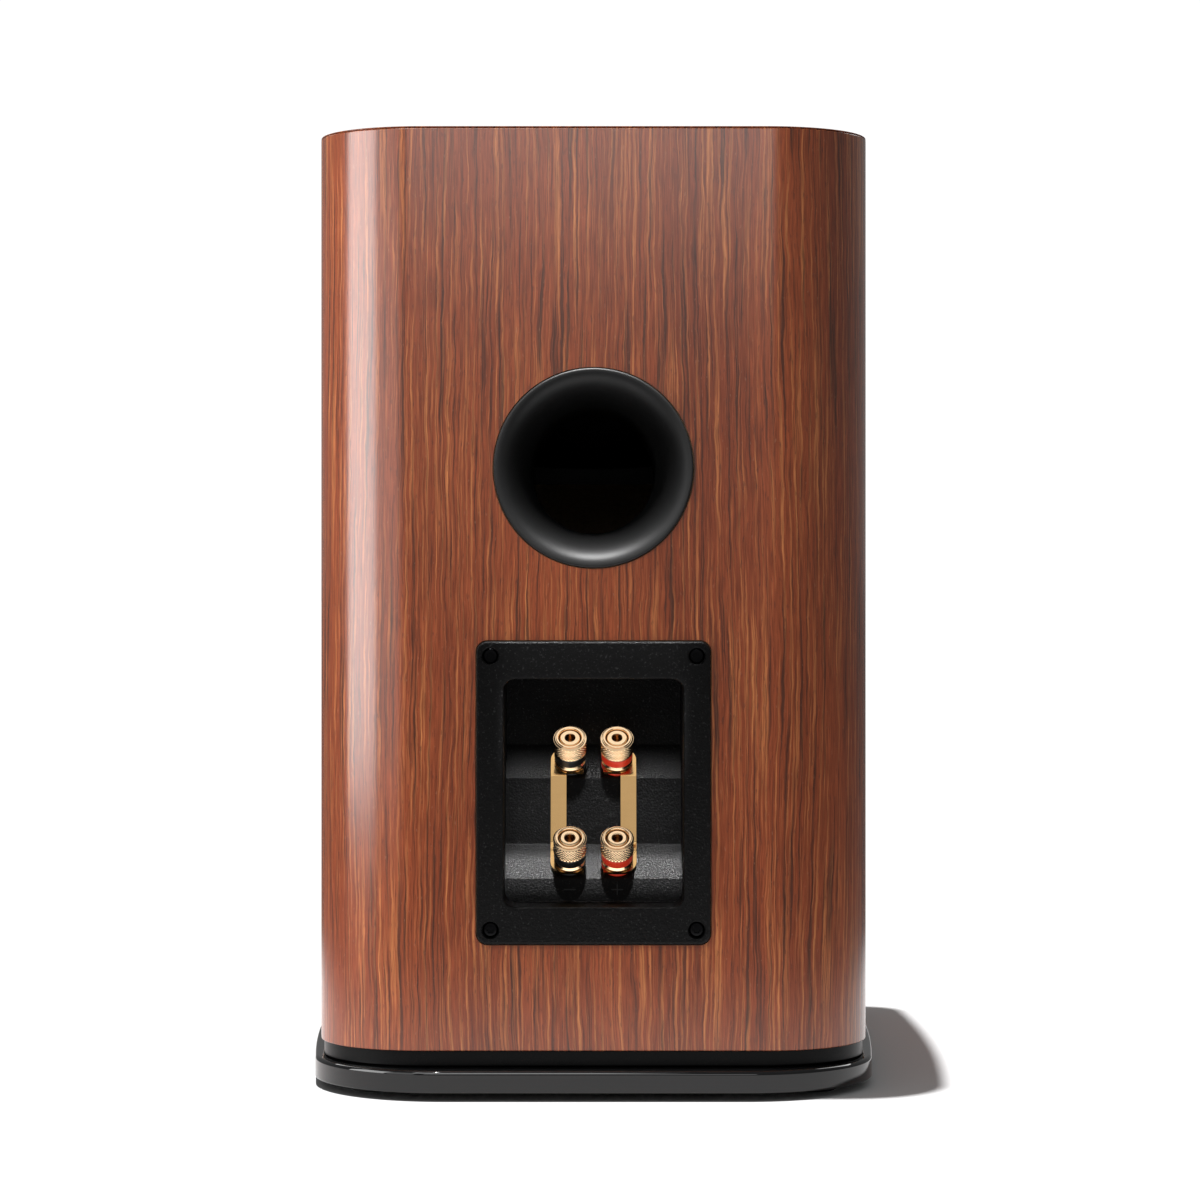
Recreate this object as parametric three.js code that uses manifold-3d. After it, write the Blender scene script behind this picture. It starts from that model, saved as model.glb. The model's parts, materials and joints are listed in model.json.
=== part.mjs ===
// A two-way bookshelf loudspeaker: veneered cabinet with rounded rear corners, a plinth, a rear bass port
// and a recessed panel of four binding posts. Millimetres, +Z up, the drivers face -Y, and the origin is
// the centre of the footprint at floor level.
import * as THREE from "three";
import { mergeVertices } from "three/addons/utils/BufferGeometryUtils.js";
import Module from "manifold-3d";

const wasm = await Module();
wasm.setup();

// Driving dimensions of the whole speaker.
const TOTAL_HEIGHT = 370;
const TOTAL_WIDTH = 230;
const TOTAL_DEPTH = 293;
const GAP = 0.3; // between pieces that touch

// Plan outline of the cabinet: bowed sides, large rear corners, smaller front edges.
const PLATE_OVERHANG = 2.5; // how far the base plate stands out past the cabinet at the sides and front
const PLATE_REAR_OVERHANG = 7;
const PLATE_CORNER_RADIUS = 52; // at the rear
const NECK_INSET = 1.2; // how far the plinth's neck is set in from the cabinet at the sides and front
const NECK_REAR_INSET = 4.5;
const HALF_WIDTH = TOTAL_WIDTH / 2 - PLATE_OVERHANG;
const REAR_Y = TOTAL_DEPTH / 2 - PLATE_REAR_OVERHANG;
const FRONT_Y = PLATE_OVERHANG - TOTAL_DEPTH / 2;
const SIDE_RADIUS = 1555;
const WIDEST_Y = -36;
const REAR_CORNER_RADIUS = 41;
const FRONT_EDGE_RADIUS = 19;

// Heights of the stack, from the floor up.
const FOOT_HEIGHT = 3;
const PLATE_BOTTOM = FOOT_HEIGHT;
const PLATE_TOP = PLATE_BOTTOM + 8.6;
const CABINET_BOTTOM = 18.3;
const WALL = 18;
const BAFFLE_THICKNESS = 25;
const BAFFLE_REAR_Y = FRONT_Y + BAFFLE_THICKNESS;
const BRACE_BOTTOM = 189;
const BRACE_TOP = 201;
const BRACE_FRONT_Y = -74;
const BRACE_RIM = 26; // width of the wood left round the brace's window

// Rear panel.
const PORT_HEIGHT = 240;
const CUP_HEIGHT = 116.5;

// Front panel.
const WOOFER_HEIGHT = 134;
const TWEETER_HEIGHT = 292;

const FINE = 32; // facets round a large turned part
const MEDIUM = 24; // facets round a middling one, or one out of sight
const COARSE = 12; // facets round a small one

const speaker = new THREE.Group();

// ---------------------------------------------------------------------------------------- materials

function material(color, roughness, metalness) {
  return new THREE.MeshStandardMaterial({ color, roughness, metalness });
}

const walnut = material(0x96603f, 0.4, 0);
const rawBoard = material(0xb59a76, 0.8, 0);
const glossBlack = material(0x0a0a0a, 0.08, 0);
const satinBlack = material(0x141414, 0.4, 0);
const textureBlack = material(0x1c1c1c, 0.6, 0);
const rubber = material(0x111111, 0.75, 0);
const foam = material(0x2a2a2a, 0.95, 0);
const gold = material(0xd9b27c, 0.22, 1);
const redPlastic = material(0xb3261c, 0.4, 0);
const steel = material(0x9a9a9a, 0.35, 1);
const ferrite = material(0x2b2b2d, 0.7, 0);
const castAlloy = material(0x3a3a3c, 0.5, 0.6);
const coneBlack = material(0x202022, 0.5, 0);
const domeMetal = material(0xb8bcc0, 0.25, 1);
const spiderCloth = material(0xc08a3a, 0.9, 0);
const copper = material(0xb4693a, 0.35, 1);
const boardGreen = material(0x1e4a2c, 0.6, 0);
const filmCap = material(0x1d3f8a, 0.35, 0);
const ceramic = material(0xd8d2c4, 0.8, 0);
const wadding = material(0xdedbd2, 1, 0);

// ---------------------------------------------------------------------------------------- solids

// A three.js geometry as a manifold-3d solid, and back.
function solid(geometry) {
  const bare = new THREE.BufferGeometry();
  bare.setAttribute("position", geometry.getAttribute("position"));
  bare.setIndex(geometry.getIndex());
  const merged = mergeVertices(bare, 1e-4);
  return new wasm.Manifold(
    new wasm.Mesh({
      numProp: 3,
      vertProperties: merged.attributes.position.array,
      triVerts: new Uint32Array(merged.index.array),
    }),
  );
}

function geometryOf(manifold) {
  const mesh = manifold.getMesh();
  const geometry = new THREE.BufferGeometry();
  geometry.setAttribute("position", new THREE.BufferAttribute(mesh.vertProperties, 3));
  geometry.setIndex(new THREE.BufferAttribute(mesh.triVerts, 1));
  geometry.computeVertexNormals();
  return geometry;
}

// A shape in the XY plane, extruded upwards from zLow to zHigh.
function upright(shape, zLow, zHigh, curveSegments = 4) {
  const settings = { depth: zHigh - zLow, bevelEnabled: false, curveSegments };
  return new THREE.ExtrudeGeometry(shape, settings).translate(0, 0, zLow);
}

// A shape drawn in X and Z, extruded along Y from yLow to yHigh.
function facing(shape, yLow, yHigh, curveSegments = 2) {
  const geometry = upright(shape, 0, yHigh - yLow, curveSegments);
  return geometry.rotateX(Math.PI / 2).translate(0, yHigh, 0);
}

// A shape drawn in Y and Z, extruded along X from xLow to xHigh.
function sideways(shape, xLow, xHigh) {
  const geometry = upright(shape, xLow, xHigh);
  return geometry.rotateZ(Math.PI / 2).rotateY(Math.PI / 2);
}

function box(xLow, xHigh, yLow, yHigh, zLow, zHigh) {
  const geometry = new THREE.BoxGeometry(xHigh - xLow, yHigh - yLow, zHigh - zLow);
  return geometry.translate((xLow + xHigh) / 2, (yLow + yHigh) / 2, (zLow + zHigh) / 2);
}

// A closed outline of [radius, y] pairs turned about the Y axis; either way round is accepted.
function turned(outline, facets = FINE) {
  const area = outline.reduce((sum, [r, y], i) => {
    const [rNext, yNext] = outline[(i + 1) % outline.length];
    return sum + r * yNext - rNext * y;
  }, 0);
  const points = (area > 0 ? outline : [...outline].reverse()).map(([r, y]) => new THREE.Vector2(r, y));
  const closesOnAxis = points.some((p) => p.x === 0);
  if (!closesOnAxis) points.push(points[0].clone());
  return new THREE.LatheGeometry(startOnAxis(points), facets);
}

// Puts the point on the axis that starts the outline first, so the profile runs from axis to axis.
function startOnAxis(points) {
  const first = points.findIndex((p, i) => p.x === 0 && points[(i + 1) % points.length].x > 0);
  return first < 0 ? points : [...points.slice(first), ...points.slice(0, first)];
}

function rod(radius, yLow, yHigh, facets = COARSE) {
  return turned([[0, yLow], [radius, yLow], [radius, yHigh], [0, yHigh]], facets);
}

function polygon(points) {
  return new THREE.Shape(points.map(([x, y]) => new THREE.Vector2(x, y)));
}

function roundedRectangle(width, height, radius) {
  const shape = new THREE.Shape();
  const x = width / 2 - radius;
  const y = height / 2 - radius;
  shape.absarc(x, y, radius, 0, Math.PI / 2);
  shape.absarc(-x, y, radius, Math.PI / 2, Math.PI);
  shape.absarc(-x, -y, radius, Math.PI, 1.5 * Math.PI);
  shape.absarc(x, -y, radius, 1.5 * Math.PI, 2 * Math.PI);
  shape.closePath();
  return shape;
}

function place(name, geometry, finish, { x = 0, y = 0, z = 0, parent = speaker } = {}) {
  const mesh = new THREE.Mesh(geometry, finish);
  mesh.name = name;
  mesh.position.set(x, y, z);
  parent.add(mesh);
  return mesh;
}

// ---------------------------------------------------------------------------------------- cabinet

// An outline in plan: bowed sides and front edges grown outwards by grow, and rear corners of their own.
function planOutline(grow, rearY, rearRadius) {
  const sideX = HALF_WIDTH - SIDE_RADIUS;
  const sideRadius = SIDE_RADIUS + grow;
  const frontRadius = FRONT_EDGE_RADIUS + grow;
  const cornerX = (radius, y) => sideX + Math.sqrt((sideRadius - radius) ** 2 - (y - WIDEST_Y) ** 2);
  const cornerY = rearY - rearRadius;
  const edgeY = FRONT_Y + FRONT_EDGE_RADIUS;
  const rearX = cornerX(rearRadius, cornerY);
  const frontX = cornerX(frontRadius, edgeY);
  const rearAngle = Math.atan2(cornerY - WIDEST_Y, rearX - sideX);
  const frontAngle = Math.atan2(edgeY - WIDEST_Y, frontX - sideX);
  const shape = new THREE.Shape();
  shape.absarc(frontX, edgeY, frontRadius, -Math.PI / 2, frontAngle);
  shape.absarc(sideX, WIDEST_Y, sideRadius, frontAngle, rearAngle);
  shape.absarc(rearX, cornerY, rearRadius, rearAngle, Math.PI / 2);
  shape.absarc(-rearX, cornerY, rearRadius, Math.PI / 2, Math.PI - rearAngle);
  shape.absarc(-sideX, WIDEST_Y, sideRadius, Math.PI - rearAngle, Math.PI - frontAngle);
  shape.absarc(-frontX, edgeY, frontRadius, Math.PI - frontAngle, 1.5 * Math.PI);
  shape.closePath();
  return shape;
}

function cabinetOutline(inset) {
  return planOutline(-inset, REAR_Y - inset, REAR_CORNER_RADIUS - inset);
}

// All of the space between two depths.
function between(yLow, yHigh) {
  return solid(box(-TOTAL_WIDTH, TOTAL_WIDTH, yLow, yHigh, -TOTAL_HEIGHT, 2 * TOTAL_HEIGHT));
}

const behindBaffle = between(BAFFLE_REAR_Y + GAP, TOTAL_DEPTH);
const innerOutline = cabinetOutline(WALL);
const panelOutline = cabinetOutline(WALL + GAP);

function cabinetWrap(cutouts) {
  const outside = solid(upright(cabinetOutline(0), CABINET_BOTTOM, TOTAL_HEIGHT));
  const inside = solid(upright(innerOutline, CABINET_BOTTOM - 1, TOTAL_HEIGHT + 1));
  const wall = outside.subtract(inside).intersect(behindBaffle);
  return geometryOf(cutouts.reduce((body, cut) => body.subtract(cut), wall));
}

function innerPanel(zLow, zHigh) {
  return geometryOf(solid(upright(panelOutline, zLow, zHigh)).intersect(behindBaffle));
}

// A horizontal brace with one large window, glued across the side and rear walls.
function windowBrace(zLow, zHigh, frontY, rim) {
  const slab = solid(upright(panelOutline, zLow, zHigh));
  const kept = between(frontY, REAR_Y);
  const windowWidth = 2 * (HALF_WIDTH - WALL - rim) - 10; // narrower where the sides draw in
  const windowDepth = REAR_Y - WALL - frontY - 2 * rim;
  const opening = roundedRectangle(windowWidth, windowDepth, rim);
  const middleY = (frontY + REAR_Y - WALL) / 2;
  const hole = solid(upright(opening, zLow - 1, zHigh + 1).translate(0, middleY, 0));
  return geometryOf(slab.intersect(kept).subtract(hole));
}

// ---------------------------------------------------------------------------------------- plinth

const FOOT_RADIUS = 10;
const FOOT_X = 84;
const FOOT_Y = 112;

function buildPlinth() {
  const plate = planOutline(PLATE_OVERHANG, REAR_Y + PLATE_REAR_OVERHANG, PLATE_CORNER_RADIUS);
  const neck = planOutline(-NECK_INSET, REAR_Y - NECK_REAR_INSET, REAR_CORNER_RADIUS);
  place("base_plate", upright(plate, PLATE_BOTTOM, PLATE_TOP), glossBlack);
  place("plinth_neck", upright(neck, PLATE_TOP + GAP, CABINET_BOTTOM - GAP), glossBlack);
  const foot = rod(FOOT_RADIUS, 0, FOOT_HEIGHT - GAP).rotateX(Math.PI / 2);
  for (const [side, x] of [["right", FOOT_X], ["left", -FOOT_X]]) {
    for (const [end, y] of [["front", -FOOT_Y], ["rear", FOOT_Y]]) {
      place(`foot_${end}_${side}`, foot.clone(), rubber, { x, y });
    }
  }
}

// ---------------------------------------------------------------------------------------- bass port

const PORT_RIM_RADIUS = 38;
const PORT_THROAT_RADIUS = 24.6;
const PORT_FLARE_DEPTH = 38;
const PORT_LENGTH = 112;
const PORT_SKIN = 2.5;
const PORT_LIP = 2; // thickness of the rim's flange, let into the wall
const PORT_PROUD = 1; // how far the rim stands out of the wall
const PORT_HOLE_RADIUS = PORT_RIM_RADIUS - 2.1;
const PORT_SPIGOT_RADIUS = PORT_HOLE_RADIUS - GAP; // the part of the tube that fills the hole

// Points of the trumpet curve, grown outwards by skin; depths count from the rear face inwards.
function flareCurve(skin, steps) {
  const rise = PORT_RIM_RADIUS - 0.8 - PORT_THROAT_RADIUS;
  return Array.from({ length: steps + 1 }, (_, i) => {
    const angle = (i / steps) * (Math.PI / 2);
    const radius = PORT_THROAT_RADIUS + rise * (1 - Math.sin(angle)) + skin;
    return [radius, PORT_FLARE_DEPTH * (1 - Math.cos(angle)) - PORT_PROUD];
  });
}

// Turns a list of [radius, depth] into [radius, y] behind the rear face.
function fromRear(outline) {
  return outline.map(([radius, depth]) => [radius, REAR_Y - depth]);
}

function buildPort() {
  const tubeRadius = PORT_THROAT_RADIUS + PORT_SKIN;
  const fitsHole = ([radius, depth]) => radius < PORT_SPIGOT_RADIUS && depth > PORT_LIP + 1;
  const outer = flareCurve(PORT_SKIN, 5).filter(fitsHole);
  const flare = [
    ...flareCurve(0, 6),
    [PORT_THROAT_RADIUS, PORT_LENGTH],
    [tubeRadius, PORT_LENGTH],
    ...outer.reverse(),
    [PORT_SPIGOT_RADIUS, PORT_LIP + 1],
    [PORT_SPIGOT_RADIUS, PORT_LIP],
    [PORT_RIM_RADIUS, PORT_LIP],
    [PORT_RIM_RADIUS, -PORT_PROUD + 0.6],
    [PORT_RIM_RADIUS - 0.5, -PORT_PROUD],
  ];
  place("port_tube", turned(fromRear(flare)), satinBlack, { z: PORT_HEIGHT });
  const sleeve = tubeRadius + GAP;
  const innerFlare = [
    [sleeve, PORT_LENGTH - 12],
    [sleeve + PORT_SKIN, PORT_LENGTH - 12],
    [sleeve + PORT_SKIN, PORT_LENGTH + 2],
    [PORT_THROAT_RADIUS + 8, PORT_LENGTH + 13],
    [PORT_THROAT_RADIUS + 13, PORT_LENGTH + 20],
    [PORT_THROAT_RADIUS + 10.5, PORT_LENGTH + 20],
    [PORT_THROAT_RADIUS + 5.5, PORT_LENGTH + 13],
    [PORT_THROAT_RADIUS, PORT_LENGTH + 3],
    [PORT_THROAT_RADIUS, PORT_LENGTH + GAP],
    [sleeve, PORT_LENGTH + GAP],
  ];
  place("port_inner_flare", turned(fromRear(innerFlare), MEDIUM), satinBlack, { z: PORT_HEIGHT });
}

// ---------------------------------------------------------------------------------------- terminal cup

const FLANGE_WIDTH = 89;
const FLANGE_HEIGHT = 115.2;
const FLANGE_CORNER = 4.2;
const FLANGE_PROUD = 2;
const FLANGE_THICKNESS = 4;
const REBATE_DEPTH = 3; // how deep the flange and its gasket are let into the wall
const RECESS_WIDTH = 68.4;
const RECESS_HEIGHT = 86.6;
const RECESS_CORNER = 4.5;
const RECESS_DEPTH = 50; // from the flange's face to the back wall
const CUP_SKIN = 2.5;
const POST_TILT = THREE.MathUtils.degToRad(44); // how far the posts point up from level
const POST_PITCH = 18.3;
const POST_DOWN_SHELF = 1.6; // from the middle of a shelf down its slope to the post's axis
const SHELF_RUN = 12; // depth of each sloping shelf
const MIDDLE_WALL_RUN = 4; // how far the wall between the shelves leans out
const BOTTOM_WALL_RUN = 2;
const UPPER_SHELF_HEIGHT = 126.2; // middle of the upper shelf, above the floor
const LOWER_SHELF_HEIGHT = 88.4;
const CUP_SCREW_X = 39.2;
const CUP_SCREW_Z = 52;
const FLANGE_FACE_Y = REAR_Y + FLANGE_PROUD;

// Directions in Y and Z: down a shelf's slope, and out along a post.
const DOWN_SHELF = [Math.sin(POST_TILT), -Math.cos(POST_TILT)];
const ALONG_POST = [Math.cos(POST_TILT), Math.sin(POST_TILT)];
const SHELF_LENGTH = SHELF_RUN / DOWN_SHELF[0];
const BACK_WALL_Y = FLANGE_FACE_Y - RECESS_DEPTH;
const UPPER_SHELF = [BACK_WALL_Y + SHELF_RUN / 2, UPPER_SHELF_HEIGHT];
const LOWER_SHELF = [BACK_WALL_Y + 1.5 * SHELF_RUN + MIDDLE_WALL_RUN, LOWER_SHELF_HEIGHT];

// The point at a distance down a shelf from its middle, in Y and Z.
function onShelf([y, z], distance) {
  return [y + DOWN_SHELF[0] * distance, z + DOWN_SHELF[1] * distance];
}

// Side view of the recess: a deep back wall, a shelf sloping out, a wall, a second shelf and a last wall.
function recessProfile(grow, shiftY) {
  const top = CUP_HEIGHT + RECESS_HEIGHT / 2 + grow;
  const bottom = CUP_HEIGHT - RECESS_HEIGHT / 2 - grow;
  const half = SHELF_LENGTH / 2;
  const outline = [
    [FLANGE_FACE_Y + 1, top],
    [BACK_WALL_Y, top],
    onShelf(UPPER_SHELF, -half),
    onShelf(UPPER_SHELF, half),
    onShelf(LOWER_SHELF, -half),
    onShelf(LOWER_SHELF, half),
    [LOWER_SHELF[0] + SHELF_RUN / 2 + BOTTOM_WALL_RUN, bottom],
    [FLANGE_FACE_Y + 1, bottom],
  ];
  return polygon(outline.map(([y, z]) => [y + shiftY, z]));
}

// The recess as seen from behind, right through the speaker.
function recessOpening(grow) {
  const width = RECESS_WIDTH + 2 * grow;
  const shape = roundedRectangle(width, RECESS_HEIGHT + 2 * grow, RECESS_CORNER + grow);
  return solid(facing(shape, 0, TOTAL_DEPTH).translate(0, 0, CUP_HEIGHT));
}

// The recess as a solid, grown by grow on its sides and moved inwards by shift.
function recess(grow, shift) {
  const half = RECESS_WIDTH / 2 + grow;
  const profile = solid(sideways(recessProfile(grow, -shift), -half, half));
  return profile.intersect(recessOpening(grow));
}

function cornersOf(x, z) {
  return [["upper_right", x, z], ["upper_left", -x, z], ["lower_right", x, -z], ["lower_left", -x, -z]];
}

function flangeSlab(grow, yLow, yHigh) {
  const shape = roundedRectangle(FLANGE_WIDTH + 2 * grow, FLANGE_HEIGHT + 2 * grow, FLANGE_CORNER + grow);
  return solid(facing(shape, yLow, yHigh).translate(0, 0, CUP_HEIGHT));
}

const POST_RADIUS = 4;
const SCREW_HEAD_RADIUS = 2.9;
const SCREW_HEAD_HEIGHT = 1.4;
const SCREW_HEAD_SUNK = 1.2; // from the flange's face down to the top of the head
const SCREW_SHANK_RADIUS = 1.7;
const SCREW_END_DEPTH = 15; // of the screw's point below the rear face
const CUP_HOLE_GROWTH = CUP_SKIN + 0.5; // of the hole in the wall, past the recess

// A round hole along Y at a corner screw, from a depth right out of the rear.
function screwHole(radius, yLow, x, z) {
  return solid(rod(radius, yLow, TOTAL_DEPTH).translate(x, 0, CUP_HEIGHT + z));
}

function buildTerminalCup(posts) {
  const flangeBack = FLANGE_FACE_Y - FLANGE_THICKNESS;
  let cup = recess(CUP_SKIN, CUP_SKIN / Math.cos(POST_TILT)).intersect(between(0, FLANGE_FACE_Y - 0.5));
  cup = cup.add(flangeSlab(0, flangeBack, FLANGE_FACE_Y)).subtract(recess(0, 0));
  for (const { x, y, z } of posts) {
    const hole = rod(POST_RADIUS + GAP, -SHELF_RUN, SHELF_RUN).rotateX(POST_TILT).translate(x, y, z);
    cup = cup.subtract(solid(hole));
  }
  const gasketHoles = [];
  for (const [corner, x, z] of cornersOf(CUP_SCREW_X, CUP_SCREW_Z)) {
    const shaftHole = screwHole(SCREW_SHANK_RADIUS + GAP, 0, x, z);
    const headTop = FLANGE_FACE_Y - SCREW_HEAD_SUNK;
    const headBase = headTop - SCREW_HEAD_HEIGHT;
    const headHole = screwHole(SCREW_HEAD_RADIUS + GAP, headBase - GAP, x, z);
    cup = cup.subtract(shaftHole).subtract(headHole);
    gasketHoles.push(shaftHole);
    const screw = [
      [0, REAR_Y - SCREW_END_DEPTH],
      [SCREW_SHANK_RADIUS, REAR_Y - SCREW_END_DEPTH + 2],
      [SCREW_SHANK_RADIUS, headBase],
      [SCREW_HEAD_RADIUS, headBase],
      [SCREW_HEAD_RADIUS, headTop - 0.4],
      [SCREW_HEAD_RADIUS - 0.6, headTop],
      [0, headTop],
    ];
    place(`cup_screw_${corner}`, turned(screw, COARSE), satinBlack, { x, z: CUP_HEIGHT + z });
  }
  place("terminal_cup", geometryOf(cup), textureBlack);
  const gasketSlab = flangeSlab(-0.5, REAR_Y - REBATE_DEPTH + GAP, flangeBack - GAP);
  const gasketBody = gasketSlab.subtract(recessOpening(CUP_HOLE_GROWTH));
  const gasket = gasketHoles.reduce((body, hole) => body.subtract(hole), gasketBody);
  place("cup_gasket", geometryOf(gasket), foam);
}

// ---------------------------------------------------------------------------------------- binding posts

const INSULATOR_HEIGHT = 1; // room under the jumper for the coloured washer at the foot of each post
const JUMPER_THICKNESS = 1.2;
const COLLAR_BOTTOM = INSULATOR_HEIGHT + JUMPER_THICKNESS + 2 * GAP;
const COLLAR_TOP = COLLAR_BOTTOM + 2.2;
const RING_TOP = COLLAR_TOP + GAP + 3.9;
const KNOB_BOTTOM = RING_TOP + GAP;
const KNOB_TOP = 16.3;
const KNOB_RADIUS = 6.4;
const KNOB_RIM_RADIUS = 5.65;
const RING_RADIUS = 5.8;
const COLLAR_RADIUS = 6.2;
const BORE_RADIUS = POST_RADIUS + GAP; // of every piece that slides on the post
const SOCKET_RADIUS = 2; // the banana plug's socket
const WIRE_HOLE_HEIGHT = 5.2; // bared when the knob is unscrewed

function postPositions() {
  const list = [];
  for (const [pole, x] of [["negative", POST_PITCH / 2], ["positive", -POST_PITCH / 2]]) {
    for (const [row, shelf] of [["upper", UPPER_SHELF], ["lower", LOWER_SHELF]]) {
      const [y, z] = onShelf(shelf, POST_DOWN_SHELF);
      list.push({ name: `${row}_${pole}`, pole, x, y, z });
    }
  }
  return list;
}

// Each post is drawn along Y from the shelf's surface and turned up as a group.
function buildPost({ name, pole, x, y, z }) {
  const post = new THREE.Group();
  post.position.set(x, y, z);
  post.rotation.x = POST_TILT;
  speaker.add(post);
  const insulator = pole === "positive" ? redPlastic : satinBlack;
  const stud = [
    [0, -16],
    [2.5, -16],
    [2.5, -5.2],
    [POST_RADIUS, -5.2],
    [POST_RADIUS, KNOB_TOP - GAP],
    [SOCKET_RADIUS, KNOB_TOP - GAP],
    [SOCKET_RADIUS, 2],
    [0, 1],
  ];
  const wireHole = rod(1.5, -6, 6, 12).rotateZ(Math.PI / 2).translate(0, WIRE_HOLE_HEIGHT, 0);
  const drilled = geometryOf(solid(turned(stud, COARSE)).subtract(solid(wireHole)));
  place(`post_stud_${name}`, drilled, gold, { parent: post });
  const collar = [
    [BORE_RADIUS, COLLAR_BOTTOM],
    [COLLAR_RADIUS, COLLAR_BOTTOM],
    [COLLAR_RADIUS, COLLAR_BOTTOM + 0.7],
    [COLLAR_RADIUS - 1, COLLAR_TOP],
    [BORE_RADIUS, COLLAR_TOP],
  ];
  place(`clamp_collar_${name}`, turned(collar, COARSE), gold, { parent: post });
  const ring = [
    [BORE_RADIUS, COLLAR_TOP + GAP],
    [RING_RADIUS - 0.3, COLLAR_TOP + GAP],
    [RING_RADIUS, COLLAR_TOP + GAP + 0.3],
    [RING_RADIUS, RING_TOP],
    [BORE_RADIUS, RING_TOP],
  ];
  place(`polarity_ring_${name}`, turned(ring, COARSE), insulator, { parent: post });
  const knob = [
    [BORE_RADIUS, KNOB_BOTTOM],
    [KNOB_RADIUS - 0.4, KNOB_BOTTOM],
    [KNOB_RADIUS, KNOB_BOTTOM + 0.4],
    [KNOB_RADIUS, KNOB_TOP - 1.3],
    [KNOB_RIM_RADIUS, KNOB_TOP - 0.9],
    [KNOB_RIM_RADIUS, KNOB_TOP],
    [BORE_RADIUS, KNOB_TOP],
  ];
  place(`post_knob_${name}`, turned(knob, COARSE), gold, { parent: post });
}

// A jumper is one bent strip of brass: a forked tab under each knob, joined by a narrow upright web.
const JUMPER_REACH_OUT = 7.5; // from the post's axis to the web's outer edge
const JUMPER_REACH_IN = 5.3; // from the post's axis to the fork's open end
const TAB_HALF_LENGTH = 6; // from the post's axis up and down the shelf
const WEB_WIDTH = 6.1;
const TAB_CORNER_RADIUS = 5; // of the lower tab's outer corner

// A line through the given points in Y and Z, moved sideways by distance, with mitred corners.
function offsetPath(points, distance) {
  const unit = ([ay, az], [by, bz]) => {
    const length = Math.hypot(by - ay, bz - az);
    return [(by - ay) / length, (bz - az) / length];
  };
  const last = points.length - 1;
  return points.map((point, i) => {
    const before = unit(points[Math.max(i - 1, 0)], points[Math.max(i, 1)]);
    const after = unit(points[Math.min(i, last - 1)], points[Math.min(i + 1, last)]);
    const [ny, nz] = [-before[1] - after[1], before[0] + after[0]];
    const scale = distance / (1 + before[0] * after[0] + before[1] * after[1]);
    return [point[0] + ny * scale, point[1] + nz * scale];
  });
}

function bentStrip(path, xLow, xHigh) {
  const under = offsetPath(path, INSULATOR_HEIGHT + GAP);
  const over = offsetPath(path, INSULATOR_HEIGHT + GAP + JUMPER_THICKNESS);
  return solid(sideways(polygon([...under, ...over.reverse()]), xLow, xHigh));
}

function buildJumper(name, postX) {
  const out = Math.sign(postX);
  const outerX = postX + out * JUMPER_REACH_OUT;
  const webInnerX = outerX - out * WEB_WIDTH;
  const forkEndX = postX - out * JUMPER_REACH_IN;
  const tabEnds = [POST_DOWN_SHELF - TAB_HALF_LENGTH, POST_DOWN_SHELF + TAB_HALF_LENGTH];
  const web = [
    onShelf(UPPER_SHELF, tabEnds[0]),
    onShelf(UPPER_SHELF, SHELF_LENGTH / 2),
    onShelf(LOWER_SHELF, -SHELF_LENGTH / 2),
    onShelf(LOWER_SHELF, tabEnds[1]),
  ];
  let body = bentStrip(web, Math.min(outerX, webInnerX), Math.max(outerX, webInnerX));
  for (const shelf of [UPPER_SHELF, LOWER_SHELF]) {
    const tab = tabEnds.map((end) => onShelf(shelf, end));
    body = body.add(bentStrip(tab, Math.min(outerX, forkEndX), Math.max(outerX, forkEndX)));
    const [postY, postZ] = onShelf(shelf, POST_DOWN_SHELF);
    const slotX = [postX, postX - out * 2 * JUMPER_REACH_IN];
    const slot = box(Math.min(...slotX), Math.max(...slotX), 0, COLLAR_BOTTOM, -BORE_RADIUS, BORE_RADIUS);
    const bore = rod(BORE_RADIUS, 0, COLLAR_BOTTOM, MEDIUM).translate(postX, 0, 0);
    for (const cut of [slot, bore]) {
      body = body.subtract(solid(cut.rotateX(POST_TILT).translate(0, postY, postZ)));
    }
  }
  place(name, geometryOf(body.subtract(tabCorner(outerX, out))), gold);
}

// The waste outside the rounded corner of the lower tab.
function tabCorner(outerX, out) {
  const r = TAB_CORNER_RADIUS;
  const steps = 5;
  const arc = Array.from({ length: steps + 1 }, (_, i) => {
    const angle = (i / steps) * (Math.PI / 2);
    return [out * r * (Math.cos(angle) - 1), r * (1 - Math.sin(angle))];
  });
  const innerX = -out * (r + 1);
  const waste = polygon([[out, r], ...arc, [innerX, 0], [innerX, -1], [out, -1]]);
  const [tipY, tipZ] = onShelf(LOWER_SHELF, POST_DOWN_SHELF + TAB_HALF_LENGTH);
  return solid(facing(waste, 0, COLLAR_BOTTOM).rotateX(POST_TILT).translate(outerX, tipY, tipZ));
}

// ---------------------------------------------------------------------------------------- woofer

// Turns a list of [radius, depth] into [radius, y] behind the baffle's face.
function fromFront(outline) {
  return outline.map(([radius, depth]) => [radius, FRONT_Y + depth]);
}

const WOOFER_FLANGE_RADIUS = 86;
const WOOFER_HOLE_RADIUS = 75.6;
const COIL_TOP = 61;

const surroundOutline = (() => {
  const middle = 67.6;
  const arch = (radius, steps) =>
    Array.from({ length: steps + 1 }, (_, i) => {
      const angle = (i / steps) * Math.PI;
      return [middle + radius * Math.cos(angle), 1.7 - radius * Math.sin(angle)];
    });
  return [
    [75.4, 0.9],
    [75.4, 1.7],
    ...arch(3.3, 4),
    [60.6, 1.7],
    [60.6, 0.9],
    ...arch(4, 5).reverse(),
  ];
})();

// A front face as a thin shell: the face and its copy, thickness further in.
function skinned(face, thickness) {
  return [...face, ...[...face].reverse().map(([radius, depth]) => [radius, depth + thickness])];
}

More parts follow.
